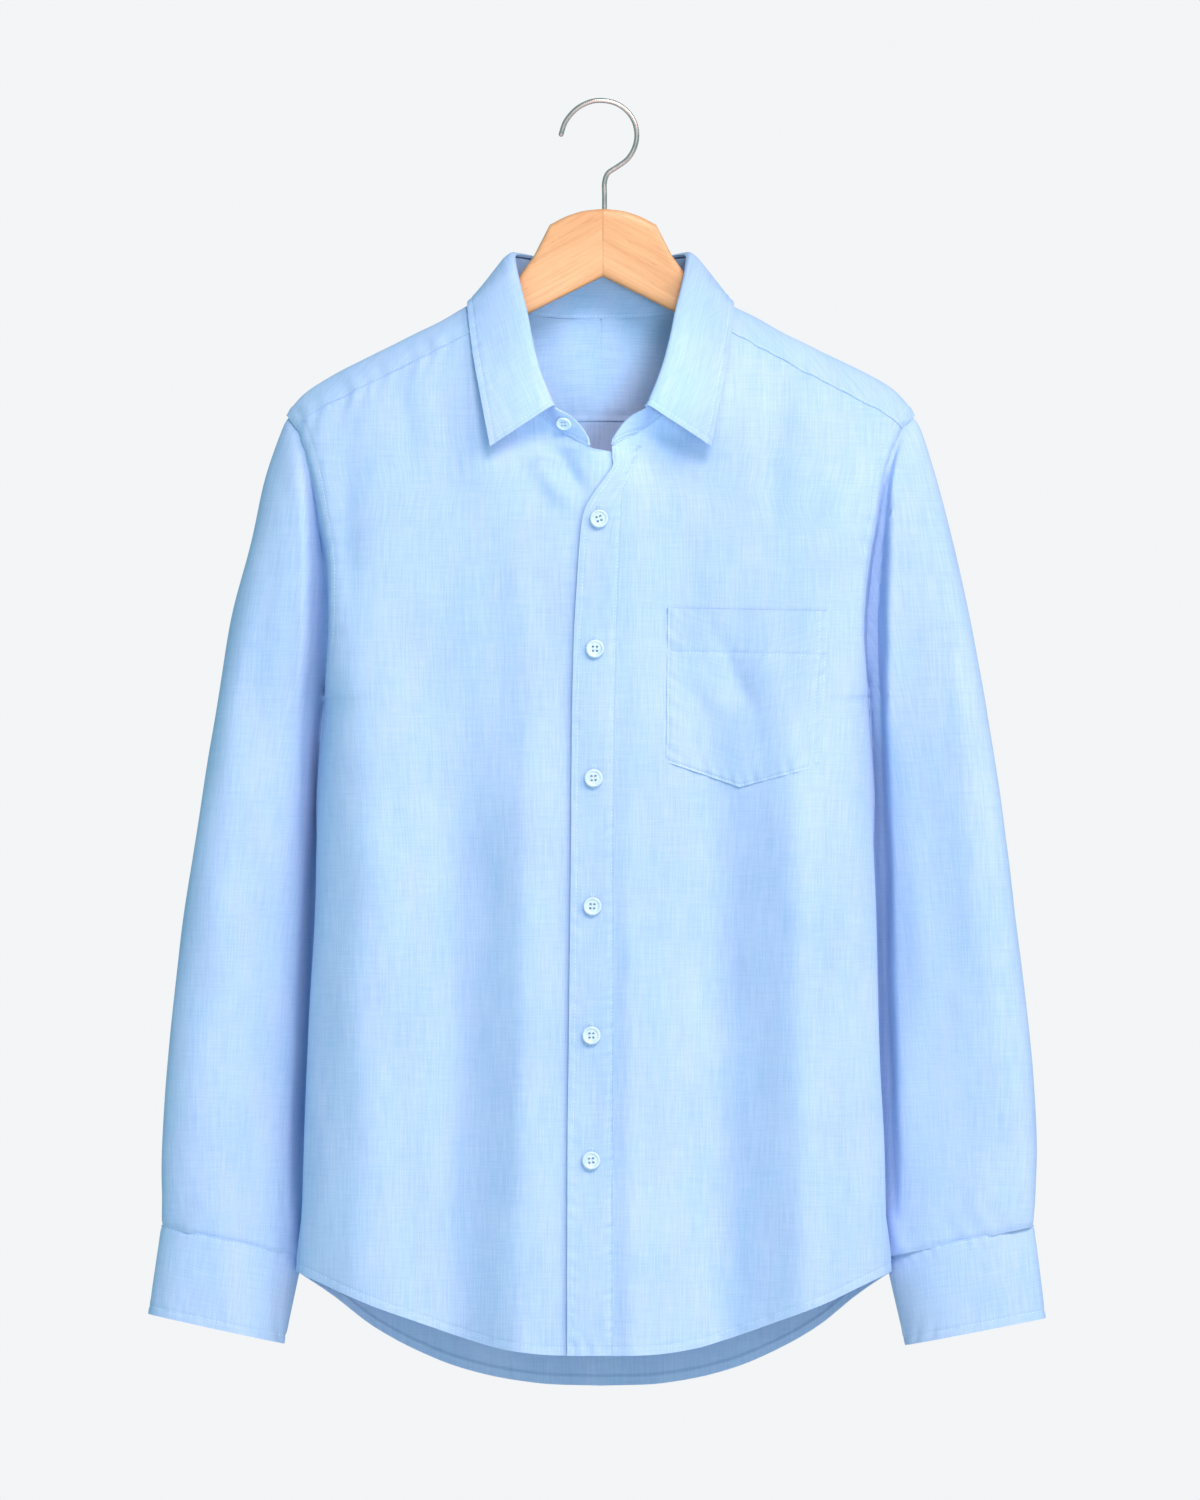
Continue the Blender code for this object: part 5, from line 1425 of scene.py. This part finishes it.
# radius, height above the back: a turned button with a raised rim and a dished middle
BUTTON_TURNED = (
    (5.3, 0.05), (6, 0.3), (6.42, 0.9), (6.45, 1.4), (6.3, 1.9), (6, 2.25), (5.6, 2.42), (5.2, 2.4),
    (4.85, 2.2), (4.5, 1.9), (4, 1.72), (2.5, 1.66),
)
BUTTON_SIDES = 48
# how far out its holes are, their pins: radius, height above the back; and the floor of its dish
BUTTON_HOLE_OUT, BUTTON_PIN, PIN_SIDES, BUTTON_FLOOR = 1.35, ((0.85, -1.0), (0.85, 4.0)), 16, 1.66
# thread through the holes: length, width, height
BUTTON_THREAD = (2.9, 0.6, 0.3)
SMALL_BUTTON = 0.85
# how far the buttons lie above the placket, the stand and the cuffs
PLACKET_LIFT, STAND_BUTTON_LIFT, CUFF_BUTTON_LIFT = 0.9, 0.6, 0.5
# a sewn buttonhole: length, how far above the button, bars on each side, how far out they lie, and
# each bar's length, width and height
HOLE_LENGTH, HOLE_UP, HOLE_BARS, HOLE_BAR_OUT, HOLE_BAR = 16.0, 1.0, 30, 0.75, (1.5, 0.5, 0.3)


def button_shape():
    """A button with a raised rim and four holes."""
    pins, pin_faces = [], []
    for quarter in range(4):
        angle = math.pi / 4 + quarter * math.pi / 2
        out = BUTTON_HOLE_OUT * math.sqrt(2)
        middle = Vector((out * math.cos(angle), out * math.sin(angle), 0.0))
        points, faces = lathe(BUTTON_PIN, PIN_SIDES, middle)
        pin_faces += [tuple(i + len(pins) for i in face) for face in faces]
        pins += points
    turned, turned_faces = lathe(BUTTON_TURNED, BUTTON_SIDES)
    blank, cutter = (
        link(name, closed_mesh(name, [tuple(p * MM) for p in points], faces))
        for name, points, faces in (
            ("button_blank", turned, turned_faces), ("button_pins", pins, pin_faces),
        )
    )
    holes = blank.modifiers.new("holes", "BOOLEAN")
    holes.operation, holes.solver, holes.object = "DIFFERENCE", "EXACT", cutter
    scene = bpy.context.evaluated_depsgraph_get()
    made = bpy.data.meshes.new_from_object(blank.evaluated_get(scene))
    for item in (blank, cutter):
        bpy.data.objects.remove(item, do_unlink=True)
    return made


def place_button(name, mesh, place, way, lift, scale=1.0, spin=0.0):
    """A button on its spot, with the sewing thread through its holes."""
    turn = way.to_track_quat("Z", "Y").to_matrix().to_4x4() @ Matrix.Rotation(spin, 4, "Z")
    spot = Matrix.Translation((place + way * lift + Vector((MIDDLE_X, 0.0, 0.0))) * MM)
    whole = spot @ turn @ Matrix.Scale(scale, 4)
    copy = mesh.copy()
    copy.transform(whole)
    item = put(name + "_shape", copy, BUTTON_RESIN, name, 0.0)
    outs = (-BUTTON_HOLE_OUT, BUTTON_HOLE_OUT)
    middles = [whole @ (Vector((x, 0.0, BUTTON_FLOOR)) * MM) / MM for x in outs]
    ways, normals = ([turn.to_3x3() @ Vector(w)] * 2 for w in ((0.0, 1.0, 0.0), (0.0, 0.0, 1.0)))
    length, width, height = BUTTON_THREAD
    size = (length * scale, width * scale, height)
    threads(name + "_thread", middles, ways, normals, *size, 0.0).parent = item


def buttonhole(place, way):
    """The stitched slot under a button: short bars across it, all the way down."""
    up = Vector((0.0, 0.0, 1.0))
    along = (up - way * up.dot(way)).normalized()
    across = along.cross(way)
    middles = []
    for i in range(HOLE_BARS):
        s = (i / (HOLE_BARS - 1) - 0.5) * HOLE_LENGTH
        middles += [place + along * s + across * side * HOLE_BAR_OUT for side in (-1, 1)]
    return middles, [across] * len(middles), [way] * len(middles)


def build_buttons(placket, stand, cuffs):
    """Every button, with its stitched hole and its sewing thread."""
    button = button_shape()
    tree = tree_of(placket, CLOTH)
    bars = [[], [], []]
    for i, (x, z, spin) in enumerate(BUTTON_SPOTS):
        place, way = seen_from_front(tree, x, z)
        place_button("button_" + str(i + 1), button, place, way, PLACKET_LIFT, spin=spin)
        hole = buttonhole(place + Vector((0.0, 0.0, HOLE_UP)), way)
        for found, more in zip(bars, hole):
            found += more
    threads("placket_buttonholes", *bars, *HOLE_BAR)
    spot = seen_from_front(tree_of(stand, TWO_LAYERS), *COLLAR_BUTTON)
    place_button("button_collar", button, *spot, STAND_BUTTON_LIFT, SMALL_BUTTON)
    for name, sheet in cuffs.items():
        i, j = int(sheet.points.shape[0] * CUFF_BUTTON_SHARE), sheet.points.shape[1] // 2
        place = Vector(sheet.points[i, j] + sheet.normals[i, j] * TWO_LAYERS / 2)
        way = Vector(sheet.normals[i, j])
        place_button("button_cuff_" + name, button, place, way, CUFF_BUTTON_LIFT, SMALL_BUTTON)


def tube(name, points, rings, sides):
    """A closed form from rings of points."""
    return closed_mesh(name, [tuple(c * MM for c in p) for p in points], ring_faces(rings, sides))


def hanger_row(x):
    """Top, foot, half thickness and squareness of the hanger at a distance from the middle."""
    corner, neck = HANGER[HANGER_CORNER_ROW][0], HANGER[HANGER_NECK_ROW][0]
    if corner < x < neck:
        part = HANGER[HANGER_CORNER_ROW : HANGER_NECK_ROW + 1]
        keys = [row[0] for row in part]
        return [float(np.interp(x, keys, [row[k] for row in part])) for k in range(1, 5)]
    part = HANGER[: HANGER_CORNER_ROW + 1] if x <= corner else HANGER[HANGER_NECK_ROW:]
    return [read(part, x, k) for k in range(1, 5)]


def power_of(value, square):
    """A sine or cosine bent towards a square section."""
    return math.copysign(abs(value) ** (2 / square), value)


def hanger_half(name, side):
    """One half of the hanger, with its crisp corner, its long arm and its rounded end."""
    named = [row[0] for row in HANGER]
    keys = sorted(set(named + list(np.arange(named[0] + HANGER_STEP, named[-1], HANGER_STEP))))
    points = []
    for x in keys:
        top, foot, half, square = hanger_row(x)
        out = side * x + MIDDLE_X * ease((x - ARM_START) / (ARM_MATCH - ARM_START))
        for k in range(HANGER_SIDES):
            a = 2 * math.pi * k / HANGER_SIDES
            rise = (top - foot) / 2 * power_of(math.cos(a), square)
            points.append((out, half * power_of(math.sin(a), square), (top + foot) / 2 + rise))
    return tube(name, points, len(keys), HANGER_SIDES)


def hook_path():
    """Points along the middle of the wire, rounded between the named ones."""
    path = []
    spots = [Vector((x, 0.0, z)) for x, z in HOOK]
    for i in range(len(spots) - 1):
        a, b = spots[i], spots[i + 1]
        before, after = spots[max(i - 1, 0)], spots[min(i + 2, len(spots) - 1)]
        for step in range(HOOK_STEPS):
            t = step / HOOK_STEPS
            start, end = (b - before) / 2, (after - a) / 2
            bend = start * t * (1 - t) ** 2 - end * t * t * (1 - t)
            path.append(a + (b - a) * ease(t) + bend)
    return path + [spots[-1]]


def hook_mesh():
    """The wire hook with a rounded tip."""
    path = hook_path()
    back, tip = (path[0] - path[1]).normalized(), path[0]
    ends = [tip + back * WIRE_RADIUS * WIRE_TIP * math.sqrt(1 - share**2) for share in TIP_RINGS]
    radii = [WIRE_RADIUS * share for share in TIP_RINGS] + [WIRE_RADIUS] * len(path)
    path = ends + path
    points = []
    for i, spot in enumerate(path):
        along = (path[min(i + 1, len(path) - 1)] - path[max(i - 1, 0)]).normalized()
        side = Vector((along.z, 0.0, -along.x))
        for k in range(HOOK_SIDES):
            a = 2 * math.pi * (k + 0.5) / HOOK_SIDES
            points.append(spot + (side * math.cos(a) + Vector((0, math.sin(a), 0))) * radii[i])
    return tube("hook_wire", points, len(path), HOOK_SIDES)


# each side by its name, with the slant of the grain in its half of the hanger
HALVES = (("right", RIGHT, 29.0), ("left", LEFT, -29.0))


def build_hanger():
    """The wooden halves and the wire hook."""
    for name, side, slant in HALVES:
        material = wood("beech_" + name, math.radians(slant))
        mesh = hanger_half("hanger_" + name + "_wood", side)
        put(mesh.name, mesh, material, "hanger_" + name, 0.0)
    put("hook_wire", hook_mesh(), STEEL, "hook", 0.0)


def build_shirt():
    """Every piece of the shirt."""
    build_front(RIGHT, "front_right")
    tree = tree_of(build_front(LEFT, "front_left"), CLOTH)
    placket = build_placket(tree)
    build_pocket(tree)
    build_back()
    build_yoke()
    stand = build_collar()
    cuffs = {}
    for name, side, _ in HALVES:
        build_sleeve(side, "sleeve_" + name)
        cuffs[name] = build_cuff(side, "cuff_" + name)
    build_buttons(placket, stand, cuffs)


# The floor: sides, radius and height in metres
FLOOR_SIDES, FLOOR_RADIUS, FLOOR_Z = 96, 3.2, -1.6
# area lights: place, place they are turned to, size, power, colour
AREA_LIGHTS = {
    "key": ((0.9, -3.75, 2.55), (0.0, 0.0, -0.45), 1.5, 164.0, (1.0, 0.725, 0.68)),
    "side": ((2.92, -2.45, 1.93), (0.0, 0.0, -0.45), 1.8, 111.0, (1.0, 0.715, 0.665)),
    "fill": ((-0.3, -3.9, -1.1), (0.0, 0.0, -0.6), 1.6, 26.0, (1.0, 0.94, 0.86)),
}
# the row of narrow lights into the neck: places, place they are turned to, power of all, colour,
# radius, cone
NECK_ROW, NECK_Y, NECK_Z = (0.24, 0.34, 0.44, 0.54, 0.64), -2.3, -0.27
NECK_TARGET = (-0.008, 0.03, -0.182)
NECK_POWER, NECK_COLOR = 190.0, (0.80, 0.955, 1.0)
NECK_SOFT, NECK_CONE = 0.05, math.radians(3.4)
AMBIENT, SURROUND = 0.45, (0.60, 1.10, 1.12, 1.0)
BACKDROP = (0.896, 0.913, 0.930, 1.0)
CAMERA_X, CAMERA_Z, CAMERA_AWAY = -0.0021, -0.4536, 20.03
LENS = 36.0 * 20.0 / 1.05


def build_stage():
    """A pale floor far below the shirt."""
    rim = [2 * math.pi * k / FLOOR_SIDES for k in range(FLOOR_SIDES)]
    points = [(FLOOR_RADIUS * math.cos(a), FLOOR_RADIUS * math.sin(a), FLOOR_Z) for a in rim]
    mesh = bpy.data.meshes.new("floor")
    mesh.from_pydata(points, [], [tuple(range(FLOOR_SIDES))])
    colours = ((0.80, 0.81, 0.83, 1.0), (0.84, 0.85, 0.87, 1.0))
    paint = mottled("floor_paint", (3, 3, 3), 3.0, colours, crisp=False, Roughness=0.9)
    mesh.materials.append(paint)
    link("floor", mesh)


def light(name, kind, place, target, power, colour):
    """A light turned towards a place."""
    data = bpy.data.lights.new(name, kind)
    data.energy, data.color = power, colour
    item = link(name, data)
    item.location, item.rotation_mode = place, "QUATERNION"
    item.rotation_quaternion = (Vector(target) - Vector(place)).to_track_quat("-Z", "Y")
    return item


def build_lights():
    """Soft lights from high in front and from the left, a weak low one, and pale surroundings."""
    for name, (place, target, size, power, colour) in AREA_LIGHTS.items():
        data = light(name, "AREA", place, target, power, colour).data
        data.shape, data.size = "SQUARE", size
    for number, x in enumerate(NECK_ROW):
        power = NECK_POWER / len(NECK_ROW)
        item = light(f"neck_{number}", "SPOT", (x, NECK_Y, NECK_Z), NECK_TARGET, power, NECK_COLOR)
        item.data.shadow_soft_size, item.data.spot_size = NECK_SOFT, NECK_CONE
        item.data.spot_blend = 1.0
        item.visible_camera = False
    world = bpy.data.worlds.new("studio")
    bpy.context.scene.world = world
    world.use_nodes = True
    tree = world.node_tree
    output = [n for n in tree.nodes if n.type == "OUTPUT_WORLD"][0]
    seen = add(tree, "ShaderNodeBackground", Color=BACKDROP, Strength=1.0)[0]
    around = add(tree, "ShaderNodeBackground", Color=SURROUND, Strength=AMBIENT)[0]
    camera_ray = add(tree, "ShaderNodeLightPath")["Is Camera Ray"]
    made = tree.nodes.new("ShaderNodeMixShader")
    for socket, value in zip(made.inputs, (camera_ray, around, seen)):
        tree.links.new(value, socket)
    tree.links.new(made.outputs[0], output.inputs["Surface"])


def build_camera():
    """The camera, straight in front of the shirt and far enough away that lines stay straight."""
    data = bpy.data.cameras.new("camera")
    data.sensor_fit, data.sensor_height, data.sensor_width = "VERTICAL", 36.0, 36.0
    data.lens, data.clip_end = LENS, 60.0
    item = link("camera", data)
    item.location = (CAMERA_X, -CAMERA_AWAY, CAMERA_Z)
    item.rotation_euler = (math.pi / 2, 0.0, 0.0)
    bpy.context.scene.camera = item


build_shirt()
build_hanger()
build_stage()
build_lights()
build_camera()
bpy.context.scene.view_settings.view_transform = "Standard"
